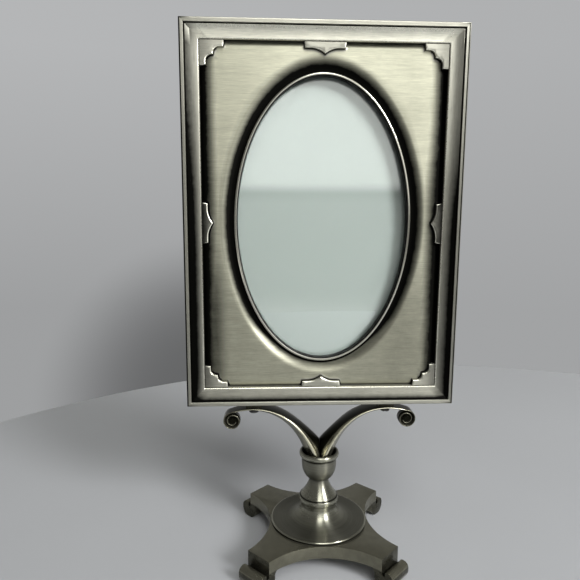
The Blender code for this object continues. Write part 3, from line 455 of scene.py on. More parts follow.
# %% [markdown]
# ## Brackets in the corners and on the sides
# Stepped brackets fill the inner corners and a small pointed one sits in the middle of
# each side. They are flat plates with a rim painted bright, partly wear, and a black line
# of painted shadow and wash follows them in the corner between plate and panel. Their
# faces are painted lighter on top and darker below, at the sides and near the side
# borders. Each is an outline filled with one face and extruded; its walls are painted
# black, and a thin skirt round its foot, laid on the panel, carries the painted shadow.

# %% Outlines of the brackets
def corner_bracket_outline():
    """Anticlockwise outline with its legs along +X and +Z, in millimetres."""
    leg, end, flat, radius, slant = 12.5, 2.9, 1.8, 3.4, 0.5
    scallop_x = leg - slant - flat
    lower = [(0, 0), (leg, 0), (leg - slant, end)]
    lower += arc_points((scallop_x, end + radius), radius, 270, 180, 8)
    lower.append((scallop_x - radius, scallop_x - radius))
    return lower + [(z, x) for x, z in reversed(lower[1:-1])]


def side_bracket_outline():
    """Anticlockwise outline, straight side along X and point towards +Z, in millimetres."""
    end, foot, flat, tip, slant = 10.9, 2.75, 2.6, 5.5, 0.5
    curve_start = end - slant - flat
    rise = tip - foot
    radius = (curve_start ** 2 + rise ** 2) / (2 * rise)
    sweep = degrees(asin(curve_start / radius))
    right = [(end, 0), (end - slant, foot)]
    right += arc_points((curve_start, foot + radius), radius, 270, 270 - sweep, 10)
    return right + [(-x, z) for x, z in reversed(right[:-1])]


# %% Plate of a bracket
RIM_WIDTH, RIM_DROP = 0.45 * MM, 0.3 * MM
CUT_STEP = 2.3 * MM
SHADOW_SKIRT_WIDTH, SHADOW_SKIRT_LIFT, WALL_LIFT = 1.3 * MM, 0.03 * MM, 0.25 * MM


def bracket_plate(bm, layer, outline, turn, place, front, face_patina_and_shade):
    """Fill the outline, inset its rim and cut the face up; returns the edges round it."""
    turned = Matrix.Rotation(turn, 3, "Y")
    spots = [turned @ Vector((x * MM, 0, z * MM)) + place for x, z in outline]
    face = bm.faces.new([bm.verts.new((spot.x, front, spot.z)) for spot in spots])
    face.normal_update()
    if face.normal.y > 0:
        face.normal_flip()
    bmesh.ops.inset_region(bm, faces=[face], thickness=RIM_WIDTH, use_even_offset=True,
                           use_boundary=True)
    for cut in range(-5, 6):
        for across in ((1, 0, 0), (0, 0, 1)):
            bmesh.ops.bisect_plane(bm, geom=bm.verts[:] + bm.edges[:] + bm.faces[:], plane_no=across,
                                   plane_co=place + Vector(across) * CUT_STEP * cut)
    around = [edge for edge in bm.edges if edge.is_boundary]
    rim = {vert for edge in around for vert in edge.verts}
    for vert in bm.verts:
        from_side, from_end = from_border(vert.co.x, vert.co.z)
        if vert in rim and min(from_side, from_end) > 0.7 * MM:
            # Painted highlight along the rim, partly wear.
            vert[layer] = -0.3
            vert.co.y = front + RIM_DROP
        else:
            # Painted shade on the face, darker near the side borders.
            vert[layer] = face_patina_and_shade + 0.35 * (1 - ease(from_side, 0, 10 * MM))
    return around


# %% Build the brackets
def build_bracket(name, outline, turn, place, stands_for, face_patina_and_shade):
    """Extrude the plate's black wall down to the panel and spread the skirt of painted shadow on the
    panel.
    """
    bm, layer = new_bmesh()
    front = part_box(stands_for)[0].y
    around = bracket_plate(bm, layer, outline, turn, place, front, face_patina_and_shade)
    rim = {vert for edge in around for vert in edge.verts}
    middle = sum((vert.co for vert in rim), Vector()) / len(rim)
    # The walls are painted black and the skirt fades from them into the panel: a painted shadow line,
    # with wash.
    wall_verts, wall_edges = pull(bm, around)
    for vert in wall_verts:
        vert.co.y = panel_front(vert.co.x, vert.co.z) - WALL_LIFT
        vert[layer] = 1.0
    outward = {}
    for vert in wall_verts:
        normal = Vector()
        for edge in vert.link_edges:
            if edge.is_boundary:
                wall = edge.link_faces[0]
                wall.normal_update()
                normal += Vector((wall.normal.x, 0, wall.normal.z)).normalized()
        outward[tuple(vert.co)] = normal.normalized()
    for vert in pull(bm, wall_edges)[0]:
        normal = outward[tuple(vert.co)]
        if (vert.co + normal * MM - middle).length < (vert.co - middle).length:
            normal = -normal
        spot = vert.co + normal * SHADOW_SKIRT_WIDTH
        x = max(-open_half_width, min(open_half_width, spot.x))
        z = max(centre_z - open_half_height, min(centre_z + open_half_height, spot.z))
        vert.co = (x, panel_front(x, z) - SHADOW_SKIRT_LIFT, z)
        vert[layer] = max(0.15, panel_patina_and_shade(x, z))
    map_grain(bm)
    finish_piece(name, bm, "pewter_bright", stands_for, sharp=40)


# Name of the place, its side in x and in z (0 is the middle), and the face's patina and
# painted shade: lighter on top, darker below and at the sides.
CORNERS = (("bottom_left", -1, -1, 0.36), ("top_left", -1, 1, 0.22), ("top_right", 1, 1, 0.22),
           ("bottom_right", 1, -1, 0.36))
MIDDLES = (("bottom", 0, -1, 0.45), ("left", -1, 0, 0.5), ("top", 0, 1, 0.3), ("right", 1, 0, 0.5))
UPRIGHT_DROP = 0.8 * MM
for kind, node, outline, places in (
        ("corner_bracket_", "corner_ornament_", corner_bracket_outline(), CORNERS),
        ("side_bracket_", "edge_ornament_", side_bracket_outline(), MIDDLES)):
    for index, (where, side_x, side_z, face_patina_and_shade) in enumerate(places):
        lift = side_z * (open_half_height - SEAT_GAP) if side_z else -UPRIGHT_DROP
        place = Vector((side_x * (open_half_width - SEAT_GAP), 0, centre_z + lift))
        build_bracket(kind + where, outline, index * pi / 2, place, node + where, face_patina_and_shade)

# %% [markdown]
# ## Turned pieces
# The cup, cone, ring and foot come off a lathe, so each is half a section spun once
# round the stem. The section's points carry patina and painted shade: black in the joints
# between pieces, painted shadow under each rim, lighter on every bulge, and painted shade
# that darkens the foot towards its dish and the cup towards its foot.

# %% Spin a section
def spin_section(name, section, stands_for, steps=96):
    """Spin (radius, height, patina) points round Z; the lathe's marks run round the piece."""
    bm, layer = new_bmesh()
    run_layer = bm.verts.layers.float.new("run")
    verts = []
    run = 0.0
    for index, (radius, height, patina) in enumerate(section):
        run += dist(section[max(index - 1, 0)][:2], (radius, height))
        vert = bm.verts.new((0, radius, height))
        vert[layer] = patina
        vert[run_layer] = run
        verts.append(vert)
    edges = [bm.edges.new(pair) for pair in zip(verts, verts[1:] + verts[:1])]
    bmesh.ops.spin(bm, geom=verts + edges, cent=(0, 0, 0), axis=(0, 0, 1), angle=tau,
                   steps=steps, use_merge=True)
    grain = bm.loops.layers.uv.new("grain")
    for face in bm.faces:
        middle = face.calc_center_median()
        facing = atan2(middle.x, -middle.y)
        for corner in face.loops:
            turn = atan2(corner.vert.co.x, -corner.vert.co.y)
            if abs(turn - facing) > pi:
                turn += copysign(tau, facing)
            corner[grain].uv = (corner.vert[run_layer], 10 * MM * turn)
    bm.verts.layers.float.remove(run_layer)
    finish_piece(name, bm, "pewter_satin", stands_for)


# %% [markdown]
# The foot spreads from a narrow trumpet to a wide dish, on two powers of a quarter wave.
# The ring above it is a plain rounded band, and the cone narrows up to the cup's neck.

# %% Build the foot
ROD_HOLE = 2.3 * MM
FLARE_STEPS = 28
foot_low, foot_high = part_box("stem_foot")
dish_radius = foot_high.x
trumpet_radius = 10.0 * MM
rim_middle = foot_low.z + 0.7 * MM
flare_base = foot_low.z + 1.4 * MM
section = [(ROD_HOLE, foot_low.z, 1.0), (dish_radius - 0.6 * MM, foot_low.z, 1.0)]
for radius, height in arc_points((dish_radius - 0.55 * MM, rim_middle), 0.6 * MM, -60, 90, 6):
    # The dish's rim is bright on top and painted black beneath, a painted shadow.
    section.append((min(radius, dish_radius), height, 0.0 if height > rim_middle else 1.0))
for share in shares(FLARE_STEPS):
    spread = sin(pi / 2 * share) ** 0.8
    rise = (1 - cos(pi / 2 * share)) ** 1.25
    radius = dish_radius - 0.8 * MM - (dish_radius - 0.4 * MM - trumpet_radius) * spread
    height = flare_base + (foot_high.z - flare_base) * rise
    # Painted shade: the flare darkens towards the dish.
    patina = min(0.62, 0.08 + 0.75 * (1 - share)) + (0.3 if share == 1 else 0.0)
    section.append((max(radius, trumpet_radius), height, patina))
section.append((ROD_HOLE, foot_high.z, 1.0))
spin_section("trumpet_foot", section, "stem_foot", steps=128)

# %% Build the ring and the cone
ring_low, ring_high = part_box("stem_ring")
ring_radius = ring_high.x
ring_half = (ring_high.z - ring_low.z) / 2
section = [(ROD_HOLE, ring_low.z, 1.0)]
for angle in range(-90, 91, 15):
    bulge = abs(cos(radians(angle))) ** 0.5
    level = sin(radians(angle))
    section.append((ring_radius - 0.8 * MM * (1 - bulge), ring_low.z + ring_half * (1 + level),
                    0.2 + 0.6 * abs(level) ** 8))
section.append((ROD_HOLE, ring_high.z, 1.0))
spin_section("stem_band", section, "stem_ring")

CONE_STEPS = 20
cone_low, cone_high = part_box("stem_cone")
neck_radius = 5.5 * MM
cone_foot = ring_radius - 0.9 * MM
cone_base = cone_low.z + 0.15 * MM
section = [(ROD_HOLE, cone_low.z, 1.0), (cone_foot - 0.3 * MM, cone_low.z, 1.0)]
for share in shares(CONE_STEPS):
    radius = neck_radius + (cone_foot - neck_radius) * (1 - share) ** 1.7
    patina = 0.3 + 0.3 * share ** 3 + (0.3 if share == 0 else 0.0)
    section.append((radius, cone_base + (cone_high.z - cone_base) * share, patina))
section.append((ROD_HOLE, cone_high.z, 1.0))
spin_section("stem_cone_turned", section, "stem_cone")

# %% [markdown]
# The cup's wall is thin, and the arms stand in it, so it is hollow. Its rim is a bright
# bead with a black groove cut under it. Its inside is painted black as shade, and its
# body is painted darker towards its foot.

# %% Build the cup
CUP_STEPS, ROOM_STEPS = 22, 8
cup_low, cup_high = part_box("stem_cup")
cup_base, cup_top = cup_low.z, cup_high.z
cup_height = cup_top - cup_base
cup_floor, cup_wall = 4.5 * MM, 1.2 * MM
body_top = cup_height - 4.0 * MM
belly_radius, mouth_radius, waist = 10.15 * MM, 10.3 * MM, 3.7 * MM
rim_bulge, rim_half = 1.0 * MM, 1.6 * MM


def cup_body_radius(level):
    """Outer radius of the cup's body at a height above its foot."""
    return belly_radius - waist * max(0.0, 1 - level / body_top) ** 3.6


def cup_room(level):
    """Inner radius of the cup at a height above its foot."""
    share = held((level - body_top) / (cup_height - body_top))
    wall_face = cup_body_radius(level) - cup_wall
    return wall_face + (mouth_radius - wall_face) * share


section = []
for across, up in arc_points((0, 0), 1.0, 90, -90, 12):
    section.append((cup_high.x - rim_bulge * (1 - across), cup_top - rim_half * (1 - up),
                    0.25 if abs(up) < 0.8 else 0.6))
for radius, level in ((9.95, 0.7), (9.8, 0.45), (9.95, 0.2)):
    section.append((radius * MM, cup_base + body_top + level * MM, 1.0))
for share in reversed(shares(CUP_STEPS)):
    level = body_top * share ** 1.5
    # Painted shade: the body darkens towards its foot.
    patina = 0.45 + 0.25 * (1 - share) ** 2 + (0.3 if share == 1 else 0.0)
    section.append((cup_body_radius(level), cup_base + level, patina))
for radius, level in ((neck_radius, 0.0), (ROD_HOLE, 0.0), (ROD_HOLE, cup_floor)):
    section.append((radius, cup_base + level, 1.0))
for share in shares(ROOM_STEPS):
    level = cup_floor + (cup_height - cup_floor) * share
    # The inside is painted black as shade.
    section.append((cup_room(level), cup_base + level, 1.0 if share < 1 else 0.6))
spin_section("arm_cup", section, "stem_cup")

# %% [markdown]
# ## The base
# A star plate with hollow sides lies on four feet. Each foot is a strap that drops from
# the end of a plate arm, turns out under it and rolls up in front of its end face. The
# plate is an outline filled and extruded; each foot is its side view extruded across;
# an exact Boolean joins them, so one bevel can soften every edge of the casting.

# %% Outline of the plate and of a foot
plate_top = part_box("base")[1].z
foot_height = 9.5 * MM
star_reach = 50.1 * MM
star_half = 8.0 * MM
star_waist = 28.7 * MM
strap_end = 7.2 * MM


def star_outline():
    """The plate's outline, its arms along the axes, joined by hollow arcs."""
    corner_out = (star_reach + star_half) / sqrt(2)
    corner_side = (star_reach - star_half) / sqrt(2)
    rise = corner_out - star_waist
    radius = (corner_side ** 2 + rise ** 2) / (2 * rise)
    sweep = degrees(asin(corner_side / radius))
    reach = star_waist + radius
    outline = []
    for middle in (45, 135, 225, 315):
        centre = (reach * cos(radians(middle)), reach * sin(radians(middle)))
        outline += arc_points(centre, radius, middle + 180 + sweep, middle + 180 - sweep, 28)
    return outline


def foot_outline():
    """(distance from the axis, height) points of one foot, seen from its side."""
    leg_inner = star_reach - 4.5 * MM
    bend = 3.0 * MM
    roll_radius, sole_cut = 3.3 * MM, 0.3 * MM
    roll = (star_reach + 3.6 * MM, 6.6 * MM)
    roll_end = 180 - degrees(acos(1.6 / 3.3))
    hook_radius = (roll[0] + roll_radius - leg_inner) / 2
    hook = (leg_inner + hook_radius, hook_radius - sole_cut)
    flat_half = degrees(acos(1 - sole_cut / hook_radius))
    inside_plate = foot_height + 3.45 * MM
    outline = [(leg_inner - bend, inside_plate)]
    outline += arc_points((leg_inner - bend, foot_height - bend), bend, 90, 0, 8)
    outline += arc_points(hook, hook_radius, 180, 270 - flat_half, 14)
    outline += arc_points(hook, hook_radius, 270 + flat_half, 360, 14)
    outline += arc_points(roll, roll_radius, 0, roll_end, 18)
    return outline + [(star_reach + 2.0 * MM, strap_end), (star_reach, strap_end),
                      (star_reach, inside_plate)]


# %% Helpers that extrude, combine and bevel
def extruded(outline, travel, place):
    """Fill an outline whose points place() puts in space, and extrude it along travel."""
    bm = bmesh.new()
    face = bm.faces.new([bm.verts.new(place(a, b)) for a, b in outline])
    grown = bmesh.ops.extrude_face_region(bm, geom=[face], use_keep_orig=True)
    far = [part for part in grown["geom"] if isinstance(part, bmesh.types.BMVert)]
    bmesh.ops.translate(bm, verts=far, vec=travel)
    bmesh.ops.recalc_face_normals(bm, faces=bm.faces)
    return bm


def combined(first, others, operation):
    """A bmesh of first with the others added or cut by exact Booleans; the helpers go."""
    for other in others:
        boolean = first.modifiers.new("combine", "BOOLEAN")
        boolean.operation = operation
        boolean.solver = "EXACT"
        boolean.object = other
    bpy.context.view_layer.update()
    graph = bpy.context.evaluated_depsgraph_get()
    mesh = bpy.data.meshes.new_from_object(first.evaluated_get(graph))
    for helper in [first] + others:
        bpy.data.objects.remove(helper, do_unlink=True)
    bm = bmesh.new()
    bm.from_mesh(mesh)
    bpy.data.meshes.remove(mesh)
    return bm


def bevel_sharp(bm, angle, width, segments):
    """Bevel every edge sharper than an angle in degrees; returns the new faces."""
    bm.normal_update()
    edges = [edge for edge in bm.edges if edge.calc_face_angle(0.0) > radians(angle)]
    return bmesh.ops.bevel(bm, geom=edges, offset=width, offset_type="OFFSET", segments=segments,
                           profile=0.5, affect="EDGES", clamp_overlap=True, material=-1)["faces"]


# %% Build the base
plate = extruded(star_outline(), (0, 0, plate_top - foot_height), lambda a, b: (a, b, foot_height))
bmesh.ops.rotate(plate, verts=plate.verts, matrix=Matrix.Rotation(pi / 4, 3, "Z"))
feet = []
for turn in range(4):
    foot = extruded(foot_outline(), (0, 2 * star_half, 0), lambda a, b: (a, -star_half, b))
    bmesh.ops.rotate(foot, verts=foot.verts,
                     matrix=Matrix.Rotation(pi / 4 + turn * pi / 2, 3, "Z"))
    feet.append(as_object("foot_helper", foot))
bm = combined(as_object("plate_helper", plate), feet, "UNION")
bmesh.ops.remove_doubles(bm, verts=bm.verts, dist=0.01 * MM)
bmesh.ops.dissolve_degenerate(bm, edges=bm.edges, dist=0.005 * MM)
worn_and_glinting = set(bevel_sharp(bm, 38, 0.5 * MM, 3))
patina_and_shade_of_face = bm.faces.layers.float.new("patina")
end_face = star_reach * sqrt(2) - 0.2 * MM
for face in bm.faces:
    middle, normal = face.calc_center_median(), face.normal
    across_foot = max(abs(normal.x + normal.y), abs(normal.x - normal.y)) / sqrt(2)
    face[patina_and_shade_of_face] = 0.6
    # Painted highlight on the bevelled edges, partly wear.
    if face in worn_and_glinting:
        face[patina_and_shade_of_face] = -0.4
    # Painted shadow on the floors of the slots under the rolls.
    elif middle.z < strap_end + 0.1 * MM and normal.z > 0.9:
        face[patina_and_shade_of_face] = 1.0
    # Painted shade on the end faces.
    elif across_foot > 0.98 and abs(middle.x) + abs(middle.y) > end_face:
        face[patina_and_shade_of_face] = 0.78
print("worn edge faces", len(worn_and_glinting), "of", len(bm.faces))
finish_piece("star_base", bm, "pewter_dark", "base", sharp=50)

# %% [markdown]
# ## The arms
# Two arms rise out of the cup, lie back under the frame and end in a scroll. Their
# section changes all the way: wide and domed at the root, a thin strap in the scroll. A
# section loop is therefore extruded station by station along the path, and each new
# loop's points are put on that station's own section. An "int" layer remembers which
# point of the section a vertex is, because extruding doesn't keep their order.

# %% Path of an arm
RISE_STEPS, RUN_STEPS, SPIRAL_STEPS = 44, 14, 66
frame_base = border_low.z
crest = Vector((38.0 * MM, frame_base - 3.0 * MM))
scroll_centre = Vector((50.3 * MM, frame_base - 10.7 * MM))
scroll_radius = 5.5 * MM
scroll_start = radians(75.0)
scroll_turns, scroll_pitch = 1.65, 1.9 * MM
root_keel, strap_keel = 7.0 * MM, 1.4 * MM
crest_half_depth, cup_clearance = 3.9 * MM, 1.4 * MM


def bezier_points(p0, p1, p2, p3, steps):
    """Points of a cubic curve, both ends included."""
    return [p0 * (1 - t) ** 3 + p1 * (3 * t * (1 - t) ** 2) + p2 * (3 * t * t * (1 - t)) + p3 * t ** 3
            for t in shares(steps)]


def on_scroll(radius, angle):
    """A point round the scroll's centre."""
    return scroll_centre + radius * Vector((cos(angle), sin(angle)))


def arm_stations():
    """(point, half depth, keel, crown, share) along the arm's edge, from the cup to the eye."""
    toe = Vector((0.15 * MM, cup_top - 3.8 * MM))
    start = on_scroll(scroll_radius, scroll_start)
    heading = Vector((sin(scroll_start), -cos(scroll_start)))
    handle = (start.x - crest.x) / 3
    rise = bezier_points(toe, toe + Vector((5.3, 14.9)) * MM, crest - Vector((21.4 * MM, 0)),
                         crest, RISE_STEPS)
    run = bezier_points(crest, crest + Vector((handle, 0)), start - heading * handle, start,
                        RUN_STEPS)
    arch = rise + run[1:]
    lengths = [0.0]
    for before, after in zip(arch, arch[1:]):
        lengths.append(lengths[-1] + (after - before).length)
    stations = []
    for point, length in zip(arch, lengths):
        share = length / lengths[-1]
        root_half_depth = cup_room(min(point.y, cup_top) - cup_base) - cup_clearance
        half_depth = crest_half_depth + (root_half_depth - crest_half_depth) * (1 - share ** 1.3)
        crown = (0.6 * (1 - share) + 8.5 * (1 - share) ** 4.5) * MM
        stations.append((point, half_depth, root_keel + (strap_keel - root_keel) * share, crown, share))
    for share in shares(SPIRAL_STEPS)[1:]:
        turns = scroll_turns * share
        point = on_scroll(scroll_radius - scroll_pitch * turns, scroll_start - tau * turns)
        stations.append((point, (7.8 - 2.2 * share) / 2 * MM, strap_keel, 0.0, 1 + share))
    return stations


# %% Section of an arm
def arm_section(half_depth, keel, crown, share):
    """(y, offset towards the keel, patina and painted shade) points: domed top painted black as shade
    under the frame, edges with a painted highlight, V keel darker along its middle.
    """
    rounding = min(0.25 * MM + 1.1 * MM * max(0.0, 1 - share * 1.6), keel * 0.3)
    edge = half_depth - rounding
    land = 2 * rounding
    top, under, rims = [], [], []
    # Painted shade: the domed top is black under the frame, and the keel is darker along its middle and
    # towards the scroll.
    for share_of_width in shares(12):
        y = 2 * share_of_width - 1
        top.append((y * edge, -crown * (1 - y * y), 0.92 if abs(y) < 0.9 else 0.3))
        depth = land + max(0.0, keel - land) * (1 - abs(y) ** 1.3)
        under.append((-y * edge, depth, 0.1 + 0.6 * (1 - abs(y)) + 0.25 * min(1.0, share)))
    # Painted highlight along both edges.
    for across, up in arc_points((0, 0), rounding, 60, -60, 4):
        rims.append((edge + across, rounding - up, -0.15))
    return top + rims + under + [(-y, offset, patina) for y, offset, patina in reversed(rims)]


# %% Sweep the arms
PAD_SIZE = (9.0 * MM, 6.5 * MM, 3.1 * MM)
# Radius, depth and number of the scroll's web and eye: near black, painted shade inside the scroll.
WEB_AND_EYE = ((4.55 * MM, 3.6 * MM, 1.0), (1.7 * MM, 5.6 * MM, 0.9))


def build_arm(name, mirror, stands_for):
    """Extrude the section along the path, add the scroll's web, eye and the seat pad."""
    bm, layer = new_bmesh()
    place_layer = bm.verts.layers.int.new("place")
    stations = arm_stations()
    for index, (point, half_depth, keel, crown, share) in enumerate(stations):
        before = stations[max(index - 1, 0)][0]
        after = stations[min(index + 1, len(stations) - 1)][0]
        tangent = Vector((0, 1)).lerp((after - before).normalized(), min(1.0, index / 12))
        normal = Vector((tangent.y, -tangent.x)).normalized()
        section = arm_section(half_depth, keel, crown, share)
        if index == 0:
            ring = [bm.verts.new((0, 0, 0)) for _ in section]
            for number, vert in enumerate(ring):
                vert[place_layer] = number
            ring_edges = [bm.edges.new(pair) for pair in zip(ring, ring[1:] + ring[:1])]
            bm.faces.new(ring)
        else:
            ring, ring_edges = pull(bm, ring_edges)
        for vert in ring:
            y, offset, patina = section[vert[place_layer]]
            spot = point + normal * offset
            vert.co = Vector((max(spot.x, SEAT_GAP / 2), y, spot.y))
            # Painted shade: the strap is darker in the scroll.
            if (spot - scroll_centre).length < scroll_radius + 0.3 * MM:
                patina = max(patina, 0.62)
            vert[layer] = patina if spot.x > SEAT_GAP else 1.0
    bmesh.ops.holes_fill(bm, edges=ring_edges, sides=0)
    for radius, depth, patina in WEB_AND_EYE:
        disc = bmesh.ops.create_cone(bm, cap_ends=True, segments=40, radius1=radius, radius2=radius,
                                     depth=depth)["verts"]
        bmesh.ops.rotate(bm, verts=disc, matrix=Matrix.Rotation(pi / 2, 3, "X"))
        bmesh.ops.translate(bm, verts=disc, vec=(scroll_centre.x, 0, scroll_centre.y))
        for vert in disc:
            vert[layer] = patina
    pad = bmesh.ops.create_cube(bm, size=1.0)["verts"]
    bmesh.ops.scale(bm, verts=pad, vec=PAD_SIZE)
    bmesh.ops.translate(bm, verts=pad, vec=(crest.x, 0, frame_base - SEAT_GAP - PAD_SIZE[2] / 2))
    # The pad is painted dark as shade under the frame.
    for vert in pad:
        vert[layer] = 0.8
    if mirror:
        bmesh.ops.scale(bm, verts=bm.verts, vec=(-1, 1, 1))
    finish_piece(name, bm, "pewter_dark", stands_for, sharp=45)


build_arm("scroll_arm_right", False, "arm_right")
build_arm("scroll_arm_left", True, "arm_left")

# %% [markdown]
# ## The back and the small hardware
# A velvet board closes the back; four flat catches turn on slotted screws to free it.
# The board, the catches, the washer, the nut, the hub and the rod are right in the
# measured model but too sharp, so a copy of each mesh is merged, cleaned and given a
# small bevel. The screws are spun, and a thin box cuts each slot with an exact Boolean.

# %% Soften copies of the measured solids
SIDES = ("bottom", "left", "top", "right")


def softened(name, node, slot, width, segments=2, body="body"):
    """A merged copy of a CAD node's mesh with its sharp edges bevelled."""
    bm = bmesh.new()
    bm.from_mesh(nodes[node].data)
    bmesh.ops.remove_doubles(bm, verts=bm.verts, dist=0.002 * MM)
    bmesh.ops.dissolve_limit(bm, angle_limit=radians(1), verts=bm.verts, edges=bm.edges)
    bevel_sharp(bm, 30, width, segments)
    finish_piece(name, bm, slot, node, body=body, sharp=40)


softened("velvet_board", "back_board", "black_velvet", 0.9 * MM, segments=4)
for side in SIDES:
    button = "turn_button_" + side
    softened("catch_" + side, button, "plated_steel", 0.18 * MM, body=button)
softened("rod_washer_soft", "rod_washer", "dark_steel", 0.15 * MM)
softened("rod_nut_soft", "rod_nut", "dark_steel", 0.25 * MM)
softened("hub_block", "arm_hub", "pewter_dark", 0.3 * MM)
softened("middle_rod", "tie_rod", "dark_steel", 0.2 * MM)


# %% Spin and slot the screws
def slotted_screw(name, stands_for, outward, slot_turn, head_radius, head_height):
    """A domed, slotted screw on a CAD screw's own axis; outward points from shank to head."""
    low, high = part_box(stands_for)
    axis = Vector(outward)
    length = abs((high - low).dot(axis))
    shank_radius, chamfer, dome = 0.8 * MM, 0.1 * MM, 0.35 * head_height
    top = length / 2
    under = top - head_height
    section = [
        (0.0, -top), (shank_radius, -top), (shank_radius, under),
        (head_radius - chamfer, under), (head_radius, under + chamfer), (head_radius, top - dome),
        (head_radius * 0.85, top - dome * 0.45), (head_radius * 0.5, top - dome * 0.1), (0.0, top),
    ]
    bm = bmesh.new()
    verts = [bm.verts.new((radius, 0, height)) for radius, height in section]
    edges = [bm.edges.new(pair) for pair in zip(verts, verts[1:])]
    bmesh.ops.spin(bm, geom=verts + edges, cent=(0, 0, 0), axis=(0, 0, 1), angle=tau,
                   steps=32, use_merge=True)
    bmesh.ops.remove_doubles(bm, verts=bm.verts, dist=0.001 * MM)
    bmesh.ops.recalc_face_normals(bm, faces=bm.faces)
    cutter = bmesh.new()
    bmesh.ops.create_cube(cutter, size=1.0)
    bmesh.ops.scale(cutter, verts=cutter.verts,
                    vec=(head_radius * 3, head_radius * 0.28, head_height * 0.9))
    bmesh.ops.rotate(cutter, verts=cutter.verts, matrix=Matrix.Rotation(slot_turn, 3, "Z"))
    bmesh.ops.translate(cutter, verts=cutter.verts, vec=(0, 0, top))
    bm = combined(as_object("screw_helper", bm), [as_object("slot_helper", cutter)], "DIFFERENCE")
    upright = axis.to_track_quat("Z", "Y").to_matrix().to_4x4()
    bmesh.ops.transform(bm, verts=bm.verts, matrix=Matrix.Translation((low + high) / 2) @ upright)
    finish_piece(name, bm, "dark_steel", stands_for, sharp=35)


for index, side in enumerate(SIDES):
    slotted_screw("catch_screw_" + side, "turn_button_screw_" + side, (0, 1, 0), 0.4 + 1.1 * index,
                  1.9 * MM, 1.0 * MM)
for index, side in enumerate(("left", "right")):
    slotted_screw("crest_screw_" + side, "arm_screw_" + side, (0, 0, -1), 0.7 + index,
                  2.75 * MM, 1.5 * MM)

# %% [markdown]
# ## Node groups for the finishes
# Old pewter is one metal in many states, so its effects are node groups: each is built
# once and placed in several materials with other numbers. The wash group mixes rubbed
# metal and black by the mesh's number for patina and painted shade and by ragged noise,
# and raises the metal's colour below 0 as a painted highlight on edges; "brush_marks"
# draws fine straight scratches; "cast_skin" gives the grain of a sand casting.

# %% Small helpers for nodes
class Recipe:
    """Adds nodes to one tree; fill and add return the node, the others its output socket."""

    def __init__(self, tree):
        self.tree = tree

    def fill(self, node, inputs):
        """Set or link a node's inputs, given by name or number; a colour has three parts."""
        for name, value in inputs.items():
            socket = node.inputs[name]
            if isinstance(value, bpy.types.NodeSocket):
                self.tree.links.new(value, socket)
            else:
                socket.default_value = (*value, 1.0) if socket.type == "RGBA" else value
        return node

    def add(self, kind, inputs=None, **settings):
        node = self.tree.nodes.new("ShaderNode" + kind)
        for setting, value in settings.items():
            setattr(node, setting, value)
        return self.fill(node, inputs or {})

    def math(self, operation, first, second, clamp=False):
        return self.add("Math", {0: first, 1: second}, operation=operation, use_clamp=clamp).outputs[0]

    def times(self, first, second):
        return self.math("MULTIPLY", first, second)

    def plus(self, first, *others):
        for other in others:
            first = self.math("ADD", first, other)
        return first

    def noise(self, spot, scale, detail, roughness=0.5):
        return self.add("TexNoise", {"Vector": spot, "Scale": scale, "Detail": detail,
                                     "Roughness": roughness}).outputs[0]

    def span(self, value, low, high, to_low, to_high, kind="LINEAR"):
        return self.add("MapRange", {"Value": value, "From Min": low, "From Max": high,
                                     "To Min": to_low, "To Max": to_high},
                        interpolation_type=kind).outputs[0]

    def fade(self, *ranges):
        return self.span(*ranges, kind="SMOOTHSTEP")

    def mix(self, factor, first, second):
        return self.add("Mix", {0: factor, 6: first, 7: second}, data_type="RGBA").outputs[2]

    def product(self, vector, factors):
        return self.add("VectorMath", {0: vector, 1: factors}, operation="MULTIPLY").outputs[0]

    def dot(self, vector, way):
        node = self.add("VectorMath", {0: vector, 1: way}, operation="DOT_PRODUCT")
        return node.outputs["Value"]

    def bump(self, height, strength, distance):
        return self.add("Bump", {"Height": height, "Strength": strength,
                                 "Distance": distance}).outputs[0]

    def object_spot(self):
        return self.add("TexCoord").outputs["Object"]


# %% Helper for node groups
def new_group(name, inputs, outputs):
    """A node group with named sockets: its recipe, the sockets that come in, its output node."""
    tree = bpy.data.node_groups.new(name, "ShaderNodeTree")
    for in_out, sockets in (("INPUT", inputs), ("OUTPUT", outputs)):
        for socket, kind in sockets.items():
            tree.interface.new_socket(socket, in_out=in_out, socket_type="NodeSocket" + kind)
    return Recipe(tree), tree.nodes.new("NodeGroupInput").outputs, tree.nodes.new("NodeGroupOutput")


# %% Patina group
wash_and_shade, wash_and_shade_in, wash_and_shade_out = new_group(
    "antique_wash",
    {"Metal Color": "Color", "Wash Color": "Color", "Patina": "Float", "Ragged": "Float",
     "Grime Scale": "Float", "Metal Roughness": "Float", "Wash Roughness": "Float"},
    {"Color": "Color", "Roughness": "Float", "Metallic": "Float", "Height": "Float"},
)
spot = wash_and_shade.object_spot()
cloud = wash_and_shade.noise(spot, wash_and_shade_in["Grime Scale"], 6.0, 0.65)
fleck = wash_and_shade.noise(spot, wash_and_shade.times(wash_and_shade_in["Grime Scale"], 7.0), 3.0, 0.6)
haze = wash_and_shade.noise(spot, 38.0, 2.0)
ragged_cloud = wash_and_shade.times(wash_and_shade.math("SUBTRACT", cloud, 0.5), wash_and_shade_in["Ragged"])
ragged_fleck = wash_and_shade.times(wash_and_shade.math("SUBTRACT", fleck, 0.5), wash_and_shade_in["Ragged"])
amount = wash_and_shade.plus(wash_and_shade_in["Patina"], ragged_cloud, wash_and_shade.times(ragged_fleck, 0.2))
# Black wash and painted shade where the number is high.
wash_and_shade_mask = wash_and_shade.span(amount, 0.06, 0.86, 0.0, 1.0)
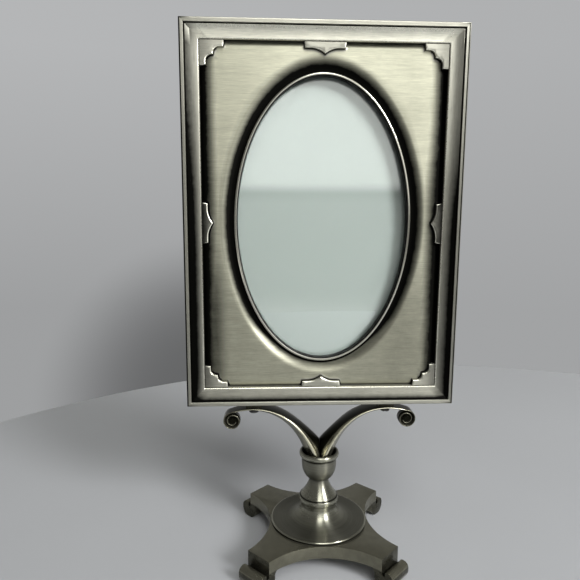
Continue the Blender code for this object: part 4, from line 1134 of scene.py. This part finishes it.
# Painted highlight: below 0 the metal's colour is raised up to 1.7 times, partly wear.
worn_and_painted_highlight = wash_and_shade.span(amount, -0.35, -0.05, 1.7, 1.0)
tone = wash_and_shade.times(wash_and_shade.span(haze, 0.3, 0.7, 0.9, 1.06), worn_and_painted_highlight)
rub = wash_and_shade.span(cloud, 0.3, 0.7, -0.02, 0.03)
worn_rough = wash_and_shade.span(amount, -0.35, -0.05, 0.22, 0.0)
base_rough = wash_and_shade.plus(wash_and_shade_in["Metal Roughness"], rub, worn_rough)
rough_step = wash_and_shade.times(wash_and_shade.math("SUBTRACT", wash_and_shade_in["Wash Roughness"], base_rough), wash_and_shade_mask)
wash_and_shade.fill(wash_and_shade_out, {
    "Color": wash_and_shade.mix(wash_and_shade_mask, wash_and_shade.product(wash_and_shade_in["Metal Color"], tone), wash_and_shade_in["Wash Color"]),
    "Roughness": wash_and_shade.math("ADD", base_rough, rough_step, clamp=True),
    "Metallic": wash_and_shade.span(wash_and_shade_mask, 0.0, 1.0, 1.0, 0.8),
    "Height": wash_and_shade.times(fleck, wash_and_shade.math("MAXIMUM", wash_and_shade_in["Patina"], 0.02)),
})
print("group", wash_and_shade.tree.name, len(wash_and_shade.tree.nodes), "nodes")

# %% Brushing group
brush, brush_in, brush_out = new_group(
    "brush_marks", {"Vector": "Vector", "Squeeze": "Vector"}, {"Height": "Float", "Tone": "Float"})
along = brush.product(brush_in["Vector"], brush_in["Squeeze"])
hair = brush.noise(along, 1.0, 4.0, 0.7)
stroke = brush.noise(along, 0.22, 2.0)
marks = brush.plus(brush.times(hair, 0.7), brush.times(stroke, 0.3))
brush.fill(brush_out, {"Height": marks, "Tone": brush.span(marks, 0.37, 0.63, 0.84, 1.12)})
print("group", brush.tree.name, len(brush.tree.nodes), "nodes")

# %% Casting group
cast_skin, cast_in, cast_out = new_group("cast_skin", {"Scale": "Float"}, {"Height": "Float"})
spot = cast_skin.object_spot()
grit = cast_skin.noise(spot, cast_in["Scale"], 5.0, 0.6)
swell = cast_skin.noise(spot, cast_skin.times(cast_in["Scale"], 0.12), 2.0)
cast_skin.fill(cast_out, {"Height": cast_skin.plus(cast_skin.times(grit, 0.35), swell)})
print("group", cast_skin.tree.name, len(cast_skin.tree.nodes), "nodes")

# %% [markdown]
# ## The metals
# Five pewter finishes share the group of wash and painted shade: bright for the border and
# the brackets, polished for the bead, brushed for the panel, satin for the turned stem and
# dark for the castings below. Steel hides at the back and inside. The brushing runs across
# the panel, so its noise is squeezed hard up and down and stretched from side to side.

# %% Build a pewter finish
BLACK_WASH_AND_SHADE = (0.003, 0.003, 0.0025)


def new_material(name):
    """A material, the recipe for its tree and its shader."""
    material = bpy.data.materials.new(name)
    material.use_nodes = True
    return material, Recipe(material.node_tree), material.node_tree.nodes["Principled BSDF"]


def pewter(name, metal, rough, wash_rough, ragged, grime, depth, wash_color=BLACK_WASH_AND_SHADE,
           squeeze=None, grain=0.0, cast=None, still=None):
    """A washed pewter with painted shade and highlight from the mesh's number: squeeze brushes it,
    grain draws out its gloss, cast pits it.
    """
    material, recipe, shader = new_material(name)
    patina = still
    if still is None:
        patina = recipe.add("Attribute", attribute_name="patina").outputs["Fac"]
    washed = recipe.add("Group", {
        "Metal Color": metal, "Wash Color": wash_color, "Patina": patina, "Ragged": ragged,
        "Grime Scale": grime, "Metal Roughness": rough, "Wash Roughness": wash_rough,
    }, node_tree=wash_and_shade.tree).outputs
    color, height = washed["Color"], washed["Height"]
    if squeeze:
        spot = recipe.object_spot()
        if grain:
            spot = recipe.add("UVMap", uv_map="grain").outputs[0]
            tangent = recipe.add("Tangent", direction_type="UV_MAP", uv_map="grain").outputs[0]
            recipe.fill(shader, {"Tangent": tangent, "Anisotropic": grain})
        marks = recipe.add("Group", {"Vector": spot, "Squeeze": squeeze}, node_tree=brush.tree).outputs
        color = recipe.product(color, marks["Tone"])
        height = recipe.plus(height, marks["Height"])
    if cast:
        skin = recipe.add("Group", {"Scale": cast}, node_tree=cast_skin.tree)
        height = recipe.plus(height, skin.outputs["Height"])
    recipe.fill(shader, {
        "Base Color": color, "Roughness": washed["Roughness"], "Metallic": washed["Metallic"],
        "Specular IOR Level": 0.06, "Normal": recipe.bump(height, 1.0, depth),
    })
    return material


# %% Mix the metals
bright = pewter("pewter_bright_worn", (0.68, 0.67, 0.575), 0.27, 0.5, 0.08, 300.0, 0.02 * MM,
                squeeze=(2000.0, 110.0, 1.0), grain=0.7)
brushed = pewter("pewter_brushed_worn", (0.575, 0.57, 0.45), 0.31, 0.5, 0.12, 220.0, 0.03 * MM,
                 squeeze=(1900.0, 110.0, 1.0), grain=0.7)
polished = pewter("pewter_polished_worn", (0.60, 0.59, 0.52), 0.14, 0.5, 0.12, 300.0, 0.015 * MM)
satin = pewter("pewter_satin_worn", (0.42, 0.415, 0.34), 0.21, 0.4, 0.05, 300.0, 0.008 * MM,
               squeeze=(1500.0, 60.0, 1.0), grain=0.9)
dark = pewter("pewter_dark_worn", (0.54, 0.52, 0.40), 0.20, 0.28, 0.22, 260.0, 0.018 * MM,
              wash_color=(0.008, 0.008, 0.005), cast=1200.0)
steel = pewter("steel_darkened", (0.12, 0.12, 0.12), 0.35, 0.6, 0.6, 500.0, 0.02 * MM,
               wash_color=(0.02, 0.018, 0.015), squeeze=(1500.0, 1500.0, 1500.0), still=0.35)
plated = pewter("steel_plated", (0.62, 0.62, 0.60), 0.25, 0.5, 0.5, 400.0, 0.02 * MM,
                wash_color=(0.10, 0.10, 0.09), squeeze=(120.0, 2000.0, 2000.0), still=0.15)
print("pewter and steel finishes:", len(bpy.data.materials), "materials so far")

# %% [markdown]
# ## Glass, card and velvet
# The glass is a thin clear pane; a Light Path node lets the lamp's shadow rays through,
# or the card behind it would stay too dark. The card is matt paper with fine fibres
# under the gloss of the pane. The board at the back wears short black velvet: a dark
# colour, a rough face and a sheen.

# %% Build the glass, the card and the velvet
glass, recipe, shader = new_material("clear_pane")
recipe.fill(shader, {"Base Color": (0.97, 1.0, 0.985), "Roughness": 0.0, "IOR": 1.6,
                     "Transmission Weight": 1.0})
ray = recipe.add("LightPath").outputs["Is Shadow Ray"]
clear = recipe.add("BsdfTransparent").outputs[0]
pane = recipe.add("MixShader", {0: ray, 1: shader.outputs[0], 2: clear}).outputs[0]
recipe.fill(recipe.tree.nodes["Material Output"], {"Surface": pane})

card, recipe, shader = new_material("paper_card")
spot = recipe.object_spot()
pulp = recipe.noise(spot, 1800.0, 4.0)
cloudy = recipe.noise(spot, 22.0, 2.0)
recipe.fill(shader, {
    "Base Color": recipe.mix(cloudy, (0.215, 0.24, 0.228), (0.232, 0.259, 0.245)),
    "Roughness": recipe.span(pulp, 0.3, 0.7, 0.5, 0.65),
    "Normal": recipe.bump(pulp, 0.4, 0.02 * MM),
    "Coat Weight": 1.0, "Coat IOR": 2.2, "Coat Roughness": 0.04,
})

velvet, recipe, shader = new_material("black_velvet_pile")
spot = recipe.object_spot()
nap = recipe.span(recipe.noise(spot, 60.0, 3.0), 0.35, 0.65, 0.0, 1.0)
pile = recipe.noise(spot, 3500.0, 2.0)
recipe.fill(shader, {
    "Base Color": recipe.mix(nap, (0.010, 0.010, 0.012), (0.026, 0.026, 0.030)),
    "Roughness": recipe.span(pile, 0.3, 0.7, 0.8, 1.0),
    "Normal": recipe.bump(pile, 0.8, 0.2 * MM),
    "Sheen Weight": 0.6, "Sheen Roughness": 0.4,
})

# %% Dress every piece
finish_of_slot = {
    "pewter_bright": bright, "pewter_brushed": brushed, "pewter_satin": satin,
    "pewter_dark": dark, "dark_steel": steel, "plated_steel": plated,
    "clear_glass": glass, "white_card": card, "black_velvet": velvet,
}
for node in nodes.values():
    for place in node.material_slots:
        place.material = finish_of_slot.get(place.material.name.split(".")[0], steel)
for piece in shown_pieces():
    slot_name = piece.get("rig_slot")
    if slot_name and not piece.get("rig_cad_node"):
        piece.data.materials.clear()
        piece.data.materials.append(finish_of_slot[slot_name])
bead.data.materials[0] = polished

# %% [markdown]
# ## The camera
# The camera stands a little to the left, just above the frame's middle, and looks
# slightly to the right and down, as the photograph's did.

# %% Camera
EYE = (-0.03275, -0.30595, 0.2019)
YAW, PITCH, ROLL = (radians(angle) for angle in (2.84, 8.83, 0.29))
camera = bpy.data.objects.new("camera", bpy.data.cameras.new("camera"))
bpy.context.scene.collection.objects.link(camera)
ahead = Vector((sin(YAW) * cos(PITCH), cos(YAW) * cos(PITCH), -sin(PITCH)))
right = Vector((cos(YAW), -sin(YAW), 0))
up = right.cross(ahead)
across = right * cos(ROLL) + up * sin(ROLL)
upright = up * cos(ROLL) - right * sin(ROLL)
facing = Matrix((across, upright, -ahead)).transposed().to_4x4()
camera.matrix_world = Matrix.Translation(EYE) @ facing
camera.data.lens = 34.44
camera.data.sensor_width = 36.0
camera.data.clip_start = 0.01
bpy.context.scene.camera = camera
print("camera", round(camera.data.lens, 2), "mm")

# %% [markdown]
# ## Table, surround and lamp
# The table is a pale round top, and the wall, which only the camera sees, is grey, painted
# darker lower down, with a painted shadow of the frame on it.
# What the metal sees is painted into the world by direction: a glow in front and to the
# right that ends at eye level, a small bright pane high in front, a dim room, a pale
# floor far below and a softer tone behind. The glow's lower edge gives the glass and the
# panel their break in tone.

# %% Table
TABLE_RADIUS, TABLE_DEPTH = 0.548, 0.02
bm = bmesh.new()
bmesh.ops.create_cone(bm, cap_ends=True, segments=256, radius1=TABLE_RADIUS - 0.004,
                      radius2=TABLE_RADIUS, depth=TABLE_DEPTH)
bmesh.ops.translate(bm, verts=bm.verts, vec=(0.125, -0.176, -TABLE_DEPTH / 2))
table = as_object("table_top", bm)
table_finish, recipe, shader = new_material("table_paint")
mottle = recipe.noise(recipe.object_spot(), 9.0, 3.0)
recipe.fill(shader, {
    "Base Color": recipe.mix(mottle, (0.38, 0.389, 0.405), (0.41, 0.42, 0.437)),
    "Roughness": recipe.span(mottle, 0.3, 0.7, 0.5, 0.58),
})
table.data.materials.append(table_finish)
print("table", round(table.dimensions.x, 3), "m across")

# %% What the metal sees
world = bpy.data.worlds.new("studio")
bpy.context.scene.world = world
world.use_nodes = True
sky = Recipe(world.node_tree)
way = sky.add("TexCoord").outputs["Generated"]
parts = sky.add("SeparateXYZ", {0: way}).outputs
way_x, way_y, way_z = parts["X"], parts["Y"], parts["Z"]


def nearness(squash, target):
    """How nearly the view, squashed and brought back to length one, points at a target."""
    unit = sky.add("VectorMath", {0: sky.product(way, squash)}, operation="NORMALIZE").outputs[0]
    return sky.dot(unit, target)


glow = sky.fade(nearness((1.0, 1.0, 0.5), (0.5, -0.866, 0.0)), 0.775, 0.866, 0.12, 1.3)
pane_width = sky.fade(nearness((1.0, 1.0, 0.0), (0.12, -0.993, 0.0)), 0.93, 0.985, 0.0, 6.0)
pane_foot = sky.fade(way_z, 0.5, 0.7, 0.0, 1.0)
pane_head = sky.fade(way_z, 0.93, 0.99, 1.0, 0.0)
glow = sky.plus(glow, sky.times(pane_width, sky.times(pane_foot, pane_head)))
above = sky.fade(way_z, 0.015, 0.040, 0.0, 1.0)
room = sky.span(way_z, 0.2, 0.8, 0.08, 0.04)
below = sky.span(way_z, 0.0, 0.02, 0.2, 0.0)
pale_floor = sky.fade(way_z, -0.26, -0.15, 0.9, 0.0)
overhead = sky.fade(way_z, 0.35, 0.75, 1.0, 0.0)
behind = sky.times(sky.fade(way_y, 0.1, 0.7, 0.0, 0.13), overhead)
tone = sky.plus(sky.times(above, glow), room, below, pale_floor, behind)
surround = sky.add("CombineColor", {0: tone, 1: tone, 2: sky.times(tone, 0.97)}).outputs[0]
studio = sky.fill(world.node_tree.nodes["Background"], {"Color": surround})

# %% What the camera sees
# Painted shade on the wall: darker lower down, more on the left, and a soft painted shadow of the
# frame.
wall_left = sky.span(way_z, -0.17, 0.24, 0.34, 0.46)
wall_right = sky.span(way_z, -0.17, 0.24, 0.36, 0.43)
wall_side = sky.fade(way_x, -0.4, 0.4, 0.0, 1.0)
wall = sky.add("Mix", {0: wall_side, 2: wall_left, 3: wall_right}, data_type="FLOAT").outputs[0]
painted_wall_shadow = sky.fade(sky.dot(way, (-0.088, 0.936, -0.34)), 0.955, 1.0, 1.0, 0.38)
wall = sky.times(wall, painted_wall_shadow)
wall_color = sky.add("CombineColor", {0: wall, 1: sky.times(wall, 1.015), 2: sky.times(wall, 1.03)})
wall_light = sky.add("Background", {"Color": wall_color.outputs[0]}).outputs[0]
seen = sky.add("LightPath").outputs["Is Camera Ray"]
picked = sky.add("MixShader", {0: seen, 1: studio.outputs[0], 2: wall_light}).outputs[0]
sky.fill(world.node_tree.nodes["World Output"], {"Surface": picked})
print("world", len(world.node_tree.nodes), "nodes")

# %% Lamp
LAMP_PLACE, LAMP_TARGET = Vector((1.05, -1.15, 1.0)), Vector((0.0, 0.0, 0.12))
lamp = bpy.data.objects.new("key_lamp", bpy.data.lights.new("key_lamp", "AREA"))
lamp.data.shape = "DISK"
lamp.data.size = 0.55
lamp.data.energy = 28.0
aim = (LAMP_TARGET - LAMP_PLACE).to_track_quat("-Z", "Y").to_matrix().to_4x4()
lamp.matrix_world = Matrix.Translation(LAMP_PLACE) @ aim
bpy.context.scene.collection.objects.link(lamp)
print("lamp", round(lamp.data.energy, 2), "W")

bpy.context.scene.view_settings.view_transform = "Standard"
